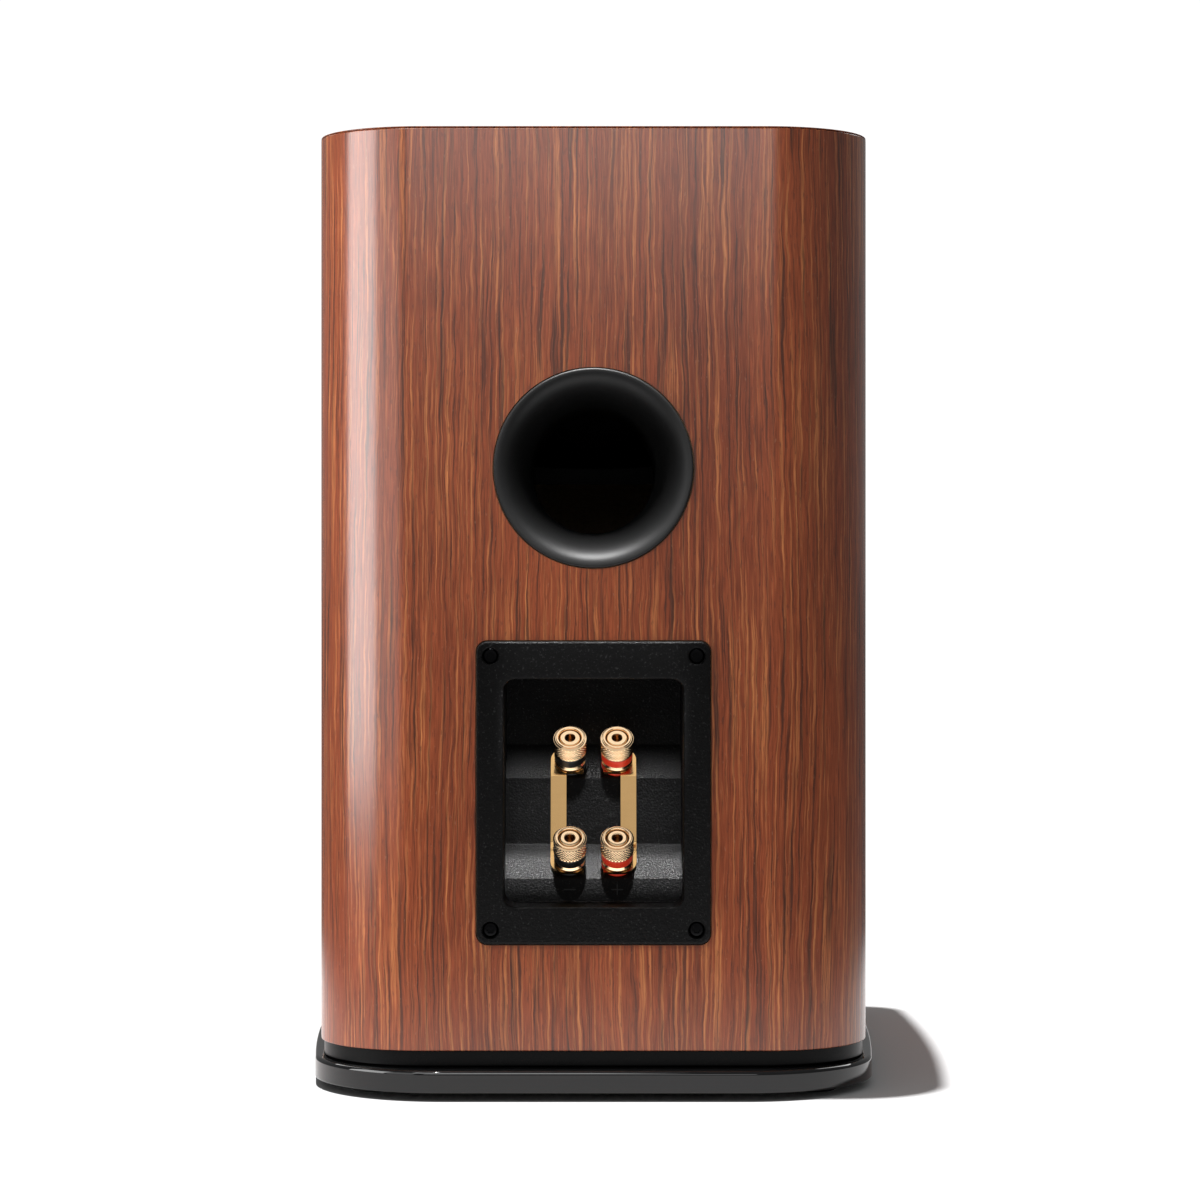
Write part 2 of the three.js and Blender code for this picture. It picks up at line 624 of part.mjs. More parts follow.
const spiderOutline = (() => {
  const waves = Array.from({ length: 6 }, (_, i) => [24 + i * 3.4, 48.4 + (i % 2 ? 0.9 : -0.9)]);
  return skinned([[19.5, 48], ...waves, [43, 48.6], [48, 48.6]], 0.6);
})();

// Each turned piece of the woofer: its finish, and its outline as [radius, depth].
const woofer = {
  woofer_trim_ring: [
    satinBlack,
    [[72.8, 0.2], [72.8, -1.2], [74.5, -2.2], [84, -2.2], [88, -0.6], [88, 0.2]],
  ],
  woofer_surround: [rubber, surroundOutline],
  woofer_cone: [coneBlack, skinned([[63, 2], [60, 2.3], [45, 8.6], [30, 16.4], [19.7, 24]], 1.2)],
  woofer_dust_cap: [
    coneBlack,
    skinned([[0, 11.5], [8, 12.2], [15, 14.4], [20, 17.6], [22.2, 20.2]], 0.8),
  ],
  woofer_voice_coil: [
    copper,
    [[18.3, 22.5], [19.1, 22.5], [19.1, COIL_TOP], [20.2, COIL_TOP], [20.2, 73.6], [18.3, 73.6]],
  ],
  woofer_spider: [spiderCloth, spiderOutline],
  woofer_front_plate: [steel, [[20.9, 64.3], [50, 64.3], [50, 70.3], [20.9, 70.3]]],
  woofer_magnet: [
    ferrite,
    [[27, 70.6], [52.5, 70.6], [53.5, 71.6], [53.5, 87.6], [52.5, 88.6], [27, 88.6]],
  ],
  woofer_pole_plate: [
    steel,
    [[6, 62], [17.6, 62], [17.6, 88.9], [50, 88.9], [50, 93], [48, 95], [6, 95]],
  ],
};

const OUT_OF_SIGHT = new Set([
  "woofer_voice_coil",
  "woofer_spider",
  "woofer_front_plate",
  "woofer_magnet",
  "woofer_pole_plate",
]);

// The cast basket: a flange, six windows in the cone of its wall, and a rear ring that carries the motor.
function wooferBasket() {
  const rim = WOOFER_FLANGE_RADIUS;
  const flange = [[76.4, 2], [76.4, 0.7], [rim, 0.7], [rim, 4.7], [74.6, 4.7]];
  const outerWall = [[71, 12], [54, 58], [52, 64], [21, 64]];
  const innerWall = [[21, 60.5], [43, 60.5], [43, 50], [50.5, 50], [67.6, 12], [70, 4.2], [70, 2]];
  const outline = [...flange, ...outerWall, ...innerWall];
  let basket = solid(turned(fromFront(outline), MEDIUM));
  const windowShape = new THREE.Shape();
  windowShape.absarc(0, 0, 80, -0.36, 0.36);
  windowShape.absarc(0, 0, 56, 0.36, -0.36, true);
  windowShape.closePath();
  for (let i = 0; i < 6; i++) {
    const opening = facing(windowShape, FRONT_Y + 15, FRONT_Y + 46, 3).rotateY((i * Math.PI) / 3);
    basket = basket.subtract(solid(opening));
  }
  return geometryOf(basket);
}

function buildWoofer() {
  for (const [name, [finish, outline]] of Object.entries(woofer)) {
    const facets = OUT_OF_SIGHT.has(name) ? MEDIUM : FINE;
    place(name, turned(fromFront(outline), facets), finish, { z: WOOFER_HEIGHT });
  }
  place("woofer_basket", wooferBasket(), castAlloy, { z: WOOFER_HEIGHT });
}

// ---------------------------------------------------------------------------------------- tweeter

const WAVEGUIDE_WIDTH = 172;
const WAVEGUIDE_HEIGHT = 112;
const WAVEGUIDE_CORNER = 14;
const WAVEGUIDE_REBATE = 3;
const MOUTH_HALF_WIDTH = 77;
const MOUTH_HALF_HEIGHT = 46;
const THROAT_RADIUS = 15;
const THROAT_DEPTH = 34;
const HORN_SKIN = 2.5;
const HORN_HOLE = [164, 102, 42]; // width, height and corner radius of the hole in the baffle

// One ring of the horn, at share 0 (throat) to 1 (mouth), as points in X and Z.
function hornRing(share, grow, count) {
  const opening = 0.3 * share + 0.7 * share ** 2.4;
  const halfWidth = THROAT_RADIUS + (MOUTH_HALF_WIDTH - THROAT_RADIUS) * opening + grow;
  const halfHeight = THROAT_RADIUS + (MOUTH_HALF_HEIGHT - THROAT_RADIUS) * opening + grow;
  const power = 2 / (2 + 0.9 * opening);
  return Array.from({ length: count }, (_, i) => {
    const angle = (i / count) * 2 * Math.PI;
    const squared = (value) => Math.sign(value) * Math.abs(value) ** power;
    return [halfWidth * squared(Math.cos(angle)), halfHeight * squared(Math.sin(angle))];
  });
}

// A closed plug through a stack of rings, each [depth, points].
function plug(rings) {
  const count = rings[0][1].length;
  const ringPositions = ([depth, points]) => points.flatMap(([x, z]) => [x, FRONT_Y + depth, z]);
  const index = [];
  for (let k = 0; k + 1 < rings.length; k++) {
    for (let i = 0; i < count; i++) {
      const a = k * count + i;
      const b = k * count + ((i + 1) % count);
      index.push(a, a + count, b, b, a + count, b + count);
    }
  }
  const last = (rings.length - 1) * count;
  for (let i = 1; i + 1 < count; i++) {
    index.push(0, i, i + 1);
    index.push(last, last + i + 1, last + i);
  }
  const geometry = new THREE.BufferGeometry();
  const positions = rings.flatMap(ringPositions);
  geometry.setAttribute("position", new THREE.Float32BufferAttribute(positions, 3));
  geometry.setIndex(index);
  return geometry;
}

function hornPlug(grow, frontDepth, rearDepth, steps = 6, count = 28) {
  const rings = Array.from({ length: steps + 1 }, (_, k) => {
    const share = 1 - k / steps;
    return [THROAT_DEPTH * (1 - share), hornRing(share, grow, count)];
  });
  rings[0][0] = 0;
  rings.unshift([frontDepth, hornRing(1, grow, count)]);
  rings.push([rearDepth, hornRing(0, grow, count)]);
  return solid(plug(rings));
}

function buildTweeter() {
  const shape = roundedRectangle(WAVEGUIDE_WIDTH, WAVEGUIDE_HEIGHT, WAVEGUIDE_CORNER);
  const flange = solid(facing(shape, FRONT_Y - 1.2, FRONT_Y + WAVEGUIDE_REBATE - GAP));
  const throatY = FRONT_Y + THROAT_DEPTH;
  const throatBoss = solid(rod(24, throatY - 8, throatY, FINE));
  const shell = hornPlug(HORN_SKIN, -1, THROAT_DEPTH + 0.01).intersect(between(FRONT_Y + 1, 0));
  const horn = flange.add(shell).add(throatBoss).subtract(hornPlug(0, -3, THROAT_DEPTH + 2));
  const trimmed = horn.intersect(between(-TOTAL_DEPTH, throatY));
  place("waveguide", geometryOf(trimmed), satinBlack, { z: TWEETER_HEIGHT });
  const dome = skinned([[0, 30.6], [4, 30.9], [8, 32.1], [11, 33.9], [12.8, 35.6]], 0.6);
  place("tweeter_dome", turned(fromFront(dome), MEDIUM), domeMetal, { z: TWEETER_HEIGHT });
  const edge = skinned([[13.1, 35.7], [14.4, 34.9], [15.8, 35.7]], 0.6);
  place("tweeter_surround", turned(fromFront(edge), MEDIUM), rubber, { z: TWEETER_HEIGHT });
  const poleFace = THROAT_DEPTH + 4.5;
  const motor = [[0, poleFace], [16.1, poleFace], [16.1, 34.3], [35, 34.3], [35, 62], [30, 68], [0, 68]];
  place("tweeter_motor", turned(fromFront(motor), MEDIUM), ferrite, { z: TWEETER_HEIGHT });
}

// The front panel, rebated for both drivers.
function frontBaffle() {
  const panel = solid(upright(cabinetOutline(0), CABINET_BOTTOM, TOTAL_HEIGHT));
  const wooferRebate = rod(WOOFER_FLANGE_RADIUS + 2.4, -TOTAL_DEPTH, FRONT_Y + 5, FINE);
  const wooferHole = rod(WOOFER_HOLE_RADIUS, -TOTAL_DEPTH, 0, FINE);
  const [guideWidth, guideHeight] = [WAVEGUIDE_WIDTH + 2 * GAP, WAVEGUIDE_HEIGHT + 2 * GAP];
  const guide = roundedRectangle(guideWidth, guideHeight, WAVEGUIDE_CORNER + GAP);
  const guideRebate = facing(guide, -TOTAL_DEPTH, FRONT_Y + WAVEGUIDE_REBATE);
  const hornHole = facing(roundedRectangle(...HORN_HOLE), -TOTAL_DEPTH, 0);
  return geometryOf(
    panel
      .intersect(between(-TOTAL_DEPTH, BAFFLE_REAR_Y))
      .subtract(solid(wooferRebate.translate(0, 0, WOOFER_HEIGHT)))
      .subtract(solid(wooferHole.translate(0, 0, WOOFER_HEIGHT)))
      .subtract(solid(guideRebate.translate(0, 0, TWEETER_HEIGHT)))
      .subtract(solid(hornHole.translate(0, 0, TWEETER_HEIGHT))),
  );
}

// ---------------------------------------------------------------------------------------- crossover

const BOARD_THICKNESS = 1.6;
const BOARD_TOP = CABINET_BOTTOM + WALL + GAP + BOARD_THICKNESS;

// A round lead along a smooth curve through the given points.
function lead(points, radius) {
  const curve = new THREE.CatmullRomCurve3(points.map(([x, y, z]) => new THREE.Vector3(x, y, z)));
  const section = new THREE.Shape();
  section.absarc(0, 0, radius, 0, 2 * Math.PI);
  return new THREE.ExtrudeGeometry(section, { steps: 14, extrudePath: curve, curveSegments: 3 });
}

function buildCrossover() {
  place("crossover_board", box(-60, 60, -35, 55, BOARD_TOP - BOARD_THICKNESS, BOARD_TOP), boardGreen);
  const coil = turned([[7, 0], [21, 0], [21, 17], [7, 17]], COARSE).rotateX(Math.PI / 2);
  place("crossover_inductor", coil, copper, { x: -34, y: -8, z: BOARD_TOP + GAP });
  const can = turned([[0, -24], [11, -24], [11, 24], [0, 24]], COARSE);
  place("crossover_capacitor", can, filmCap, { x: 36, y: 8, z: BOARD_TOP + 11 + GAP });
  place("crossover_resistor", box(-9, 9, 30, 39, BOARD_TOP + GAP, BOARD_TOP + 9), ceramic);
}

function buildLeads() {
  const boardZ = BOARD_TOP + 3;
  const postX = POST_PITCH / 2;
  for (const [pole, x, finish] of [["negative", postX, satinBlack], ["positive", -postX, redPlastic]]) {
    const route = [[x, 50, boardZ], [x, 64, boardZ + 2], [x, 80, 47], [x, 92, 58], [x, 101, 74]];
    place(`lead_input_${pole}`, lead(route, 1.6), finish);
  }
  const wooferRoute = [
    [-20, -32, boardZ],
    [-40, -44, 46],
    [-62, -62, 62],
    [-66, -80, 90],
    [-62, -92, 118],
  ];
  const tweeterRoute = [
    [50, 0, boardZ],
    [58, 4, 70],
    [54, 10, 130],
    [52, 6, 190],
    [40, -40, 250],
    [20, -66, 284],
  ];
  place("lead_woofer", lead(wooferRoute, 2), satinBlack);
  place("lead_tweeter", lead(tweeterRoute, 1.8), satinBlack);
}

// ---------------------------------------------------------------------------------------- assembly

function buildCabinet() {
  const portRebate = rod(PORT_RIM_RADIUS + 0.4, REAR_Y - PORT_LIP - GAP, TOTAL_DEPTH, FINE);
  const portHole = rod(PORT_HOLE_RADIUS, 0, TOTAL_DEPTH, FINE);
  const cutouts = [
    solid(portRebate.translate(0, 0, PORT_HEIGHT)),
    solid(portHole.translate(0, 0, PORT_HEIGHT)),
    recessOpening(CUP_HOLE_GROWTH),
    flangeSlab(0.4, REAR_Y - REBATE_DEPTH, TOTAL_DEPTH),
    ...cornersOf(CUP_SCREW_X, CUP_SCREW_Z).map(([, x, z]) =>
      screwHole(SCREW_SHANK_RADIUS + GAP, REAR_Y - SCREW_END_DEPTH - 1, x, z),
    ),
  ];
  place("cabinet_wrap", cabinetWrap(cutouts), walnut);
  place("top_panel", innerPanel(TOTAL_HEIGHT - WALL, TOTAL_HEIGHT), walnut);
  place("bottom_panel", innerPanel(CABINET_BOTTOM, CABINET_BOTTOM + WALL), rawBoard);
  place("window_brace", windowBrace(BRACE_BOTTOM, BRACE_TOP, BRACE_FRONT_Y, BRACE_RIM), rawBoard);
  place("front_baffle", frontBaffle(), walnut);
  place("damping_pad", box(-75, 75, -70, 90, 330, TOTAL_HEIGHT - WALL - GAP), wadding);
}

const posts = postPositions();
buildCabinet();
buildPlinth();
buildPort();
buildTerminalCup(posts);
posts.forEach(buildPost);
buildJumper("jumper_negative", POST_PITCH / 2);
buildJumper("jumper_positive", -POST_PITCH / 2);
buildWoofer();
buildTweeter();
buildCrossover();
buildLeads();

export default speaker;
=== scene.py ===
"""A bookshelf speaker seen from behind: walnut veneer, a bass port, a terminal panel and a gloss plinth.

Shapes are drawn in millimetres in the model's own frame (+Z up, drivers facing -Y, the origin under the
middle) and become metres when a mesh is made. Lights, camera and floor are in metres.
"""
import json
import math

import bmesh
import bpy
import numpy as np
from mathutils import Matrix, Vector


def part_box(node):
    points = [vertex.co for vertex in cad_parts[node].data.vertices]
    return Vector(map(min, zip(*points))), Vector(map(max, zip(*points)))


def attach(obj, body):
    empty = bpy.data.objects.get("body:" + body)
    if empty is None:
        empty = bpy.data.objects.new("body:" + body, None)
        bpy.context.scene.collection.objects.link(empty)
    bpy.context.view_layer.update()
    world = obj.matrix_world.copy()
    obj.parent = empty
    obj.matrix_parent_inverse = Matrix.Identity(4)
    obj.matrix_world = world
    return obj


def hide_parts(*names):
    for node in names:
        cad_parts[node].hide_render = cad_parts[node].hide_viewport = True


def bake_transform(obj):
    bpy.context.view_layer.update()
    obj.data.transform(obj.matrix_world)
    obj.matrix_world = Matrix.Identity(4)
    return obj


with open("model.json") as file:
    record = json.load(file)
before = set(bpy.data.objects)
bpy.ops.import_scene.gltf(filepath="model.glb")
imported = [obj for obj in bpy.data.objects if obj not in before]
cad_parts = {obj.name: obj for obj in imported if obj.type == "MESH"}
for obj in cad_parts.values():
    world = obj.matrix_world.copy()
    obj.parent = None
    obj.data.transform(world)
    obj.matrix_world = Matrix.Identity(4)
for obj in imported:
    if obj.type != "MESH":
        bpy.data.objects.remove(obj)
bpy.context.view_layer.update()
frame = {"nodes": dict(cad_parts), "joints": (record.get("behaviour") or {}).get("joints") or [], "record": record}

RECORD = frame["record"]
SLOT_OF = {part["node"]: part["material_slot"] for part in RECORD["subparts"]}
BODY_OF = {node: body for body, nodes in RECORD["behaviour"]["bodies"].items() for node in nodes}
JOINTS = {joint["name"]: joint for joint in frame["joints"]}
MM = 0.001
GAP = 0.3  # between pieces that touch


def box_mm(node):
    low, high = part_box(node)
    return low / MM, high / MM


# ------------------------------------------------------------------ camera, floor and light

CAMERA_AT = (0.0, 1.4395, 0.1974)
LENS = 102.6
FRAME_SHIFT = (0.0054, -0.0167)
LEFT_CORNER = (0.095, 0.135, 0.46)
BEAM_RISE = Vector((0.0, 0.1017, 0.2284))  # from a shelf up along the beams that light it


def build_camera():
    data = bpy.data.cameras.new("camera")
    data.lens = LENS
    data.sensor_width = 36.0
    data.shift_x, data.shift_y = FRAME_SHIFT
    camera = bpy.data.objects.new("camera", data)
    camera.location = CAMERA_AT
    camera.rotation_euler = (math.pi / 2, 0, math.pi)
    bpy.context.scene.collection.objects.link(camera)
    bpy.context.scene.camera = camera


def softbox(name, at, towards, size, radiance, spread=180):
    """A soft area light of size (width, height) at a place, aimed at a point."""
    data = bpy.data.lights.new(name, "AREA")
    data.shape = "RECTANGLE"
    data.size, data.size_y = size
    data.energy = radiance * math.pi * size[0] * size[1]
    data.spread = math.radians(spread)
    light = bpy.data.objects.new(name, data)
    light.location = at
    light.rotation_euler = (Vector(towards) - Vector(at)).to_track_quat("-Z", "Y").to_euler()
    light.visible_camera = False
    bpy.context.scene.collection.objects.link(light)
    return light


def group(name, pieces, state="INCLUDE"):
    """A set of pieces that a light reaches or is blocked by, or EXCLUDE for all but these."""
    collection = bpy.data.collections.new(name)
    for piece in pieces:
        collection.objects.link(piece)
    for member in collection.collection_objects:
        member.light_linking.link_state = state
    return collection


def build_lights(floor):
    """Softboxes round the cabinet, lamps of their own for the port, panel and posts, and one overhead."""
    port, top = bpy.data.objects["port_tube_moulded"], bpy.data.objects["top_panel_veneered"]
    made = [piece for piece in bpy.data.objects if piece.type == "MESH" and piece.name not in frame["nodes"]]
    panel = [piece for piece in made if piece.name.startswith(("terminal_cup", "cup_screw", "mark_"))]
    posts = [piece for piece in made if piece.name.startswith(("post_", "clamp_", "polarity_", "jumper_"))]
    round_cabinet = [
        (softbox("strip_left", (0.860, 0.369, 0.46), LEFT_CORNER, (0.56, 0.8), 7.2), [*panel, port]),
        (softbox("strip_fade", (0.588, 0.765, 0.46), LEFT_CORNER, (0.36, 0.8), 1.6), panel),
        (softbox("top_rear", (0.10, 2.0, 0.78), (0.0, 0.14, 0.25), (1.2, 0.45), 2.6), [*panel, top]),
        (softbox("top_near", (0.20, 0.70, 0.85), (0.0, 0.14, 0.32), (0.5, 0.3), 7.4), [*panel, port, top]),
        (softbox("front_right", (-0.85, -0.95, 1.25), (0.0, 0.0, 0.19), (0.9, 0.7), 5.0), [top]),
        (softbox("front_left", (0.75, -1.05, 1.25), (0.0, 0.0, 0.19), (0.7, 0.7), 4.0), [top]),
    ]
    for light, missed in round_cabinet:
        missed = group(light.name + "_misses", [floor, *posts, *missed], "EXCLUDE")
        light.light_linking.receiver_collection = missed
    on_posts = [
        softbox("posts_top", (0.0, 0.118, 0.1585), (0.0, 0.118, 0.0), (0.062, 0.044), 1.1),
        softbox("posts_rear", (0.05, 0.60, 0.30), (0.0, 0.105, 0.11), (1.0, 0.56), 0.5),
        softbox("under_upper", (0.0, 0.121, 0.112), (0.0, 0.117, 0.2), (0.066, 0.026), 1.1),
        softbox("under_lower", (0.0, 0.138, 0.076), (0.0, 0.133, 0.2), (0.066, 0.026), 1.1),
    ]
    for light in on_posts:
        light.light_linking.receiver_collection = group(light.name + "_reaches", posts)
    beams = [("wall", (0.0, 0.1075, 0.1104), (0.07, 0.022), 1.7, 7),
             ("shelf", (0.0, 0.1181, 0.0889), (0.07, 0.0125), 3.6, 2)]
    for name, target, size, radiance, spread in beams:
        beam = softbox(name + "_beam", Vector(target) + BEAM_RISE, target, size, radiance, spread)
        beam.light_linking.receiver_collection = group(beam.name + "_reaches", panel)
        beam.light_linking.blocker_collection = group(beam.name + "_blocked", posts)
    above = softbox("port_top", (0.03, 0.30, 1.05), (0.0, 0.13, 0.24), (0.5, 0.35), 38.0)
    above.light_linking.receiver_collection = group("port_top_reaches", [port])
    data = bpy.data.lights.new("overhead", "SUN")
    data.energy = 3.5
    data.angle = math.radians(1.2)
    overhead = bpy.data.objects.new("overhead", data)
    overhead.rotation_euler = Vector((-0.085, 0.0, -1.0)).to_track_quat("-Z", "Y").to_euler()
    bpy.context.scene.collection.objects.link(overhead)


def build_studio():
    """A white studio that shows white and lights only faintly."""
    world = bpy.data.worlds.new("studio")
    world.use_nodes = True
    nodes, links = world.node_tree.nodes, world.node_tree.links
    seen = nodes.new("ShaderNodeBackground")
    seen.inputs["Color"].default_value = (1, 1, 1, 1)
    seen.inputs["Strength"].default_value = 1.05
    glow = nodes["Background"]
    glow.inputs["Color"].default_value = (1, 1, 1, 1)
    glow.inputs["Strength"].default_value = 0.2
    path = nodes.new("ShaderNodeLightPath")
    mix = nodes.new("ShaderNodeMixShader")
    links.new(path.outputs["Is Camera Ray"], mix.inputs["Fac"])
    links.new(glow.outputs[0], mix.inputs[1])
    links.new(seen.outputs[0], mix.inputs[2])
    links.new(mix.outputs[0], nodes["World Output"].inputs["Surface"])
    bpy.context.scene.world = world


def build_floor():
    """A plain pale floor; only the part near the speaker throws light back at it."""
    reach = 30.0
    mesh = bpy.data.meshes.new("floor")
    mesh.from_pydata([(-reach, -reach, 0), (reach, -reach, 0), (reach, reach, 0), (-reach, reach, 0)], [],
                     [(0, 1, 2, 3)])
    floor = bpy.data.objects.new("floor", mesh)
    paper = Graph("floor_paper", {"Roughness": 1.0, "Specular IOR Level": 0.0})
    away = paper.node("ShaderNodeVectorMath", {0: paper.where()}, output=1, operation="LENGTH")
    near = paper.window(away, 0.30, 0.55, 0.92, 0.08)
    lit = paper.node("ShaderNodeCombineColor", {0: near, 1: near, 2: near})
    seen = paper.node("ShaderNodeLightPath", {})
    paper.set("Base Color", paper.mix(seen, lit, (0.92, 0.92, 0.92)))
    mesh.materials.append(paper.material)
    bpy.context.scene.collection.objects.link(floor)
    return floor


# ------------------------------------------------------------------ materials

class Graph:
    """A material built node by node, on coordinates in metres."""

    def __init__(self, name, sockets):
        self.material = bpy.data.materials.new(name)
        self.material.use_nodes = True
        self.tree = self.material.node_tree
        self.shader = self.tree.nodes["Principled BSDF"]
        for socket, value in sockets.items():
            self.set(socket, value)

    def feed(self, socket, value):
        if isinstance(value, bpy.types.NodeSocket):
            self.tree.links.new(value, socket)
        else:
            socket.default_value = value

    def set(self, socket, value):
        self.feed(self.shader.inputs[socket], value)

    def node(self, kind, inputs, output=0, **settings):
        node = self.tree.nodes.new(kind)
        for name, value in settings.items():
            setattr(node, name, value)
        for socket, value in inputs.items():
            self.feed(node.inputs[socket], value)
        return node.outputs[output]

    def where(self, layer=None):
        """A point's place: its UVs in metres if a layer is named, or its place in the frame."""
        if layer:
            return self.node("ShaderNodeUVMap", {}, uv_map=layer)
        return self.node("ShaderNodeTexCoord", {}, output="Object")

    def stretched(self, vector, scale, shift=(0, 0, 0)):
        return self.node("ShaderNodeMapping", {"Vector": vector, "Scale": scale, "Location": shift})

    def noise(self, vector, scale=1.0, detail=3.0, roughness=0.5):
        inputs = {"Vector": vector, "Scale": scale, "Detail": detail, "Roughness": roughness}
        return self.node("ShaderNodeTexNoise", inputs)

    def cells(self, vector, scale, feature="F1", output="Distance"):
        return self.node("ShaderNodeTexVoronoi", {"Vector": vector, "Scale": scale}, output=output,
                         feature=feature)

    def math(self, operation, a, b=0.0):
        return self.node("ShaderNodeMath", {0: a, 1: b}, operation=operation)

    def window(self, value, low, high, out_low=0.0, out_high=1.0):
        """value taken from low..high to out_low..out_high, and held there."""
        inputs = {"Value": value, "From Min": low, "From Max": high, "To Min": out_low, "To Max": out_high}
        return self.node("ShaderNodeMapRange", inputs)

    def ramp(self, value, stops):
        """value through a smooth scale of (position, colour) stops."""
        node = self.tree.nodes.new("ShaderNodeValToRGB")
        scale = node.color_ramp
        while len(scale.elements) < len(stops):
            scale.elements.new(0.5)
        for element, (position, colour) in zip(scale.elements, stops):
            element.position = position
            element.color = (*colour, 1)
        self.feed(node.inputs["Fac"], value)
        return node.outputs["Color"]

    def mix(self, factor, a, b, blend="MIX"):
        shades = [(*c, 1) if isinstance(c, tuple) and len(c) == 3 else c for c in (a, b)]
        return self.node("ShaderNodeMix", {0: factor, 6: shades[0], 7: shades[1]}, output=2,
                         data_type="RGBA", blend_type=blend)

    def bump(self, height, depth_mm, strength=1.0):
        inputs = {"Height": height, "Distance": depth_mm * MM, "Strength": strength}
        return self.node("ShaderNodeBump", inputs)


def veneer(name):
    """Open-pored walnut under satin lacquer, its grain along V of the layer called grain."""
    g = Graph(name, {"Specular IOR Level": 0.05, "Coat Weight": 1.0, "Coat Roughness": 0.2, "Coat IOR": 1.6})
    flat = g.where("grain")
    across = g.node("ShaderNodeSeparateXYZ", {"Vector": flat})
    along = g.node("ShaderNodeSeparateXYZ", {"Vector": flat}, output=1)
    sway = g.window(g.noise(g.stretched(flat, (9, 2.4, 1)), detail=2), 0, 1, -0.010, 0.010)
    ripple = g.window(g.noise(g.stretched(flat, (130, 45, 1)), detail=3), 0, 1, -0.0013, 0.0013)
    bent = g.math("ADD", across, g.math("ADD", sway, ripple))
    grain = g.node("ShaderNodeCombineXYZ", {0: bent, 1: along})
    bands = g.noise(g.stretched(grain, (38, 2.5, 1), (3, 7, 0)), detail=2)
    streaks = g.noise(g.stretched(grain, (760, 9, 1)), detail=5, roughness=0.62)
    embers = g.noise(g.stretched(grain, (820, 10, 1), (5, 3, 0)), detail=5, roughness=0.62)
    fibres = g.noise(g.stretched(grain, (2100, 70, 1), (11, 2, 0)), detail=2)
    wood = g.mix(g.window(bands, 0.35, 0.65), (0.172, 0.036, 0.0125), (0.235, 0.051, 0.0165))
    wood = g.mix(g.window(embers, 0.51, 0.68, 0.0, 0.9), wood, (0.44, 0.155, 0.050))
    wood = g.mix(g.window(streaks, 0.475, 0.37, 0.0, 0.85), wood, (0.047, 0.016, 0.009))
    shading = g.ramp(fibres, [(0.3, (0.66, 0.64, 0.64)), (0.7, (1.28, 1.30, 1.32))])
    wood = g.mix(1.0, wood, shading, "MULTIPLY")
    pores = g.window(g.noise(g.stretched(grain, (1500, 190, 1), (5, 9, 0)), detail=2), 0.62, 0.70)
    curls = g.window(g.noise(g.stretched(grain, (1300, 330, 1), (1, 4, 0)), detail=2), 0.66, 0.76)
    wood = g.mix(g.math("MULTIPLY", pores, 0.5), wood, (0.05, 0.018, 0.012))
    wood = g.mix(g.math("MULTIPLY", curls, 0.3), wood, (0.34, 0.16, 0.09))
    g.set("Base Color", wood)
    g.set("Roughness", g.window(fibres, 0.3, 0.7, 0.38, 0.55))
    relief = g.math("SUBTRACT", g.math("MULTIPLY", fibres, 0.3), pores)
    g.set("Normal", g.bump(relief, 0.05, 0.35))
    g.feed(g.shader.inputs["Coat Normal"], g.bump(relief, 0.02, 0.12))
    return g.material


def raw_board(name):
    """Fibreboard: pale matt fibres, darker where it was sawn."""
    g = Graph(name, {"Specular IOR Level": 0.2})
    place = g.where()
    clouds = g.noise(place, 25, 3)
    fibres = g.noise(g.stretched(place, (600, 600, 2400)), 1, 4, 0.7)
    tone = g.math("ADD", g.math("MULTIPLY", clouds, 0.4), g.math("MULTIPLY", fibres, 0.6))
    g.set("Base Color", g.ramp(tone, [(0.3, (0.26, 0.17, 0.095)), (0.7, (0.48, 0.35, 0.22))]))
    g.set("Roughness", g.window(fibres, 0.3, 0.7, 0.75, 0.95))
    g.set("Normal", g.bump(fibres, 0.15, 0.5))
    return g.material


def lacquer(name):
    """Deep gloss black lacquer with a faint orange peel and hairline polishing marks."""
    g = Graph(name, {"Base Color": (0.003, 0.003, 0.0032, 1), "Specular IOR Level": 0.0,
                     "Coat Weight": 1.0, "Coat Roughness": 0.03, "Coat IOR": 1.5})
    place = g.where()
    peel = g.noise(place, 260, 2)
    marks = g.noise(g.stretched(place, (60, 900, 900)), 1, 2)
    g.set("Roughness", g.window(marks, 0.35, 0.7, 0.04, 0.16))
    g.set("Normal", g.bump(peel, 0.02, 0.12))
    return g.material


def moulding(name, colour, roughness, grain_mm=0.0, depth_mm=0.0, speckle=0.0, specular=0.5):
    """Moulded plastic or rubber: clouded colour, and a spark-eroded grain where grain_mm is given."""
    g = Graph(name, {"Specular IOR Level": specular})
    place = g.where()
    clouds = g.noise(place, 45, 3)
    fine = g.noise(place, 1 / ((grain_mm or 0.35) * MM), 2, 0.6)
    dark = tuple(c * (0.85 - speckle) for c in colour)
    light = tuple(c * (1.15 + speckle) for c in colour)
    tone = g.math("ADD", g.math("MULTIPLY", clouds, 0.35), g.math("MULTIPLY", fine, 0.65))
    g.set("Base Color", g.ramp(tone, [(0.35, dark), (0.65, light)]))
    g.set("Roughness", g.window(tone, 0.3, 0.7, roughness - 0.06, roughness + 0.08))
    g.set("Normal", g.bump(fine, depth_mm or 0.008, 0.6 if grain_mm else 0.25))
    return g.material


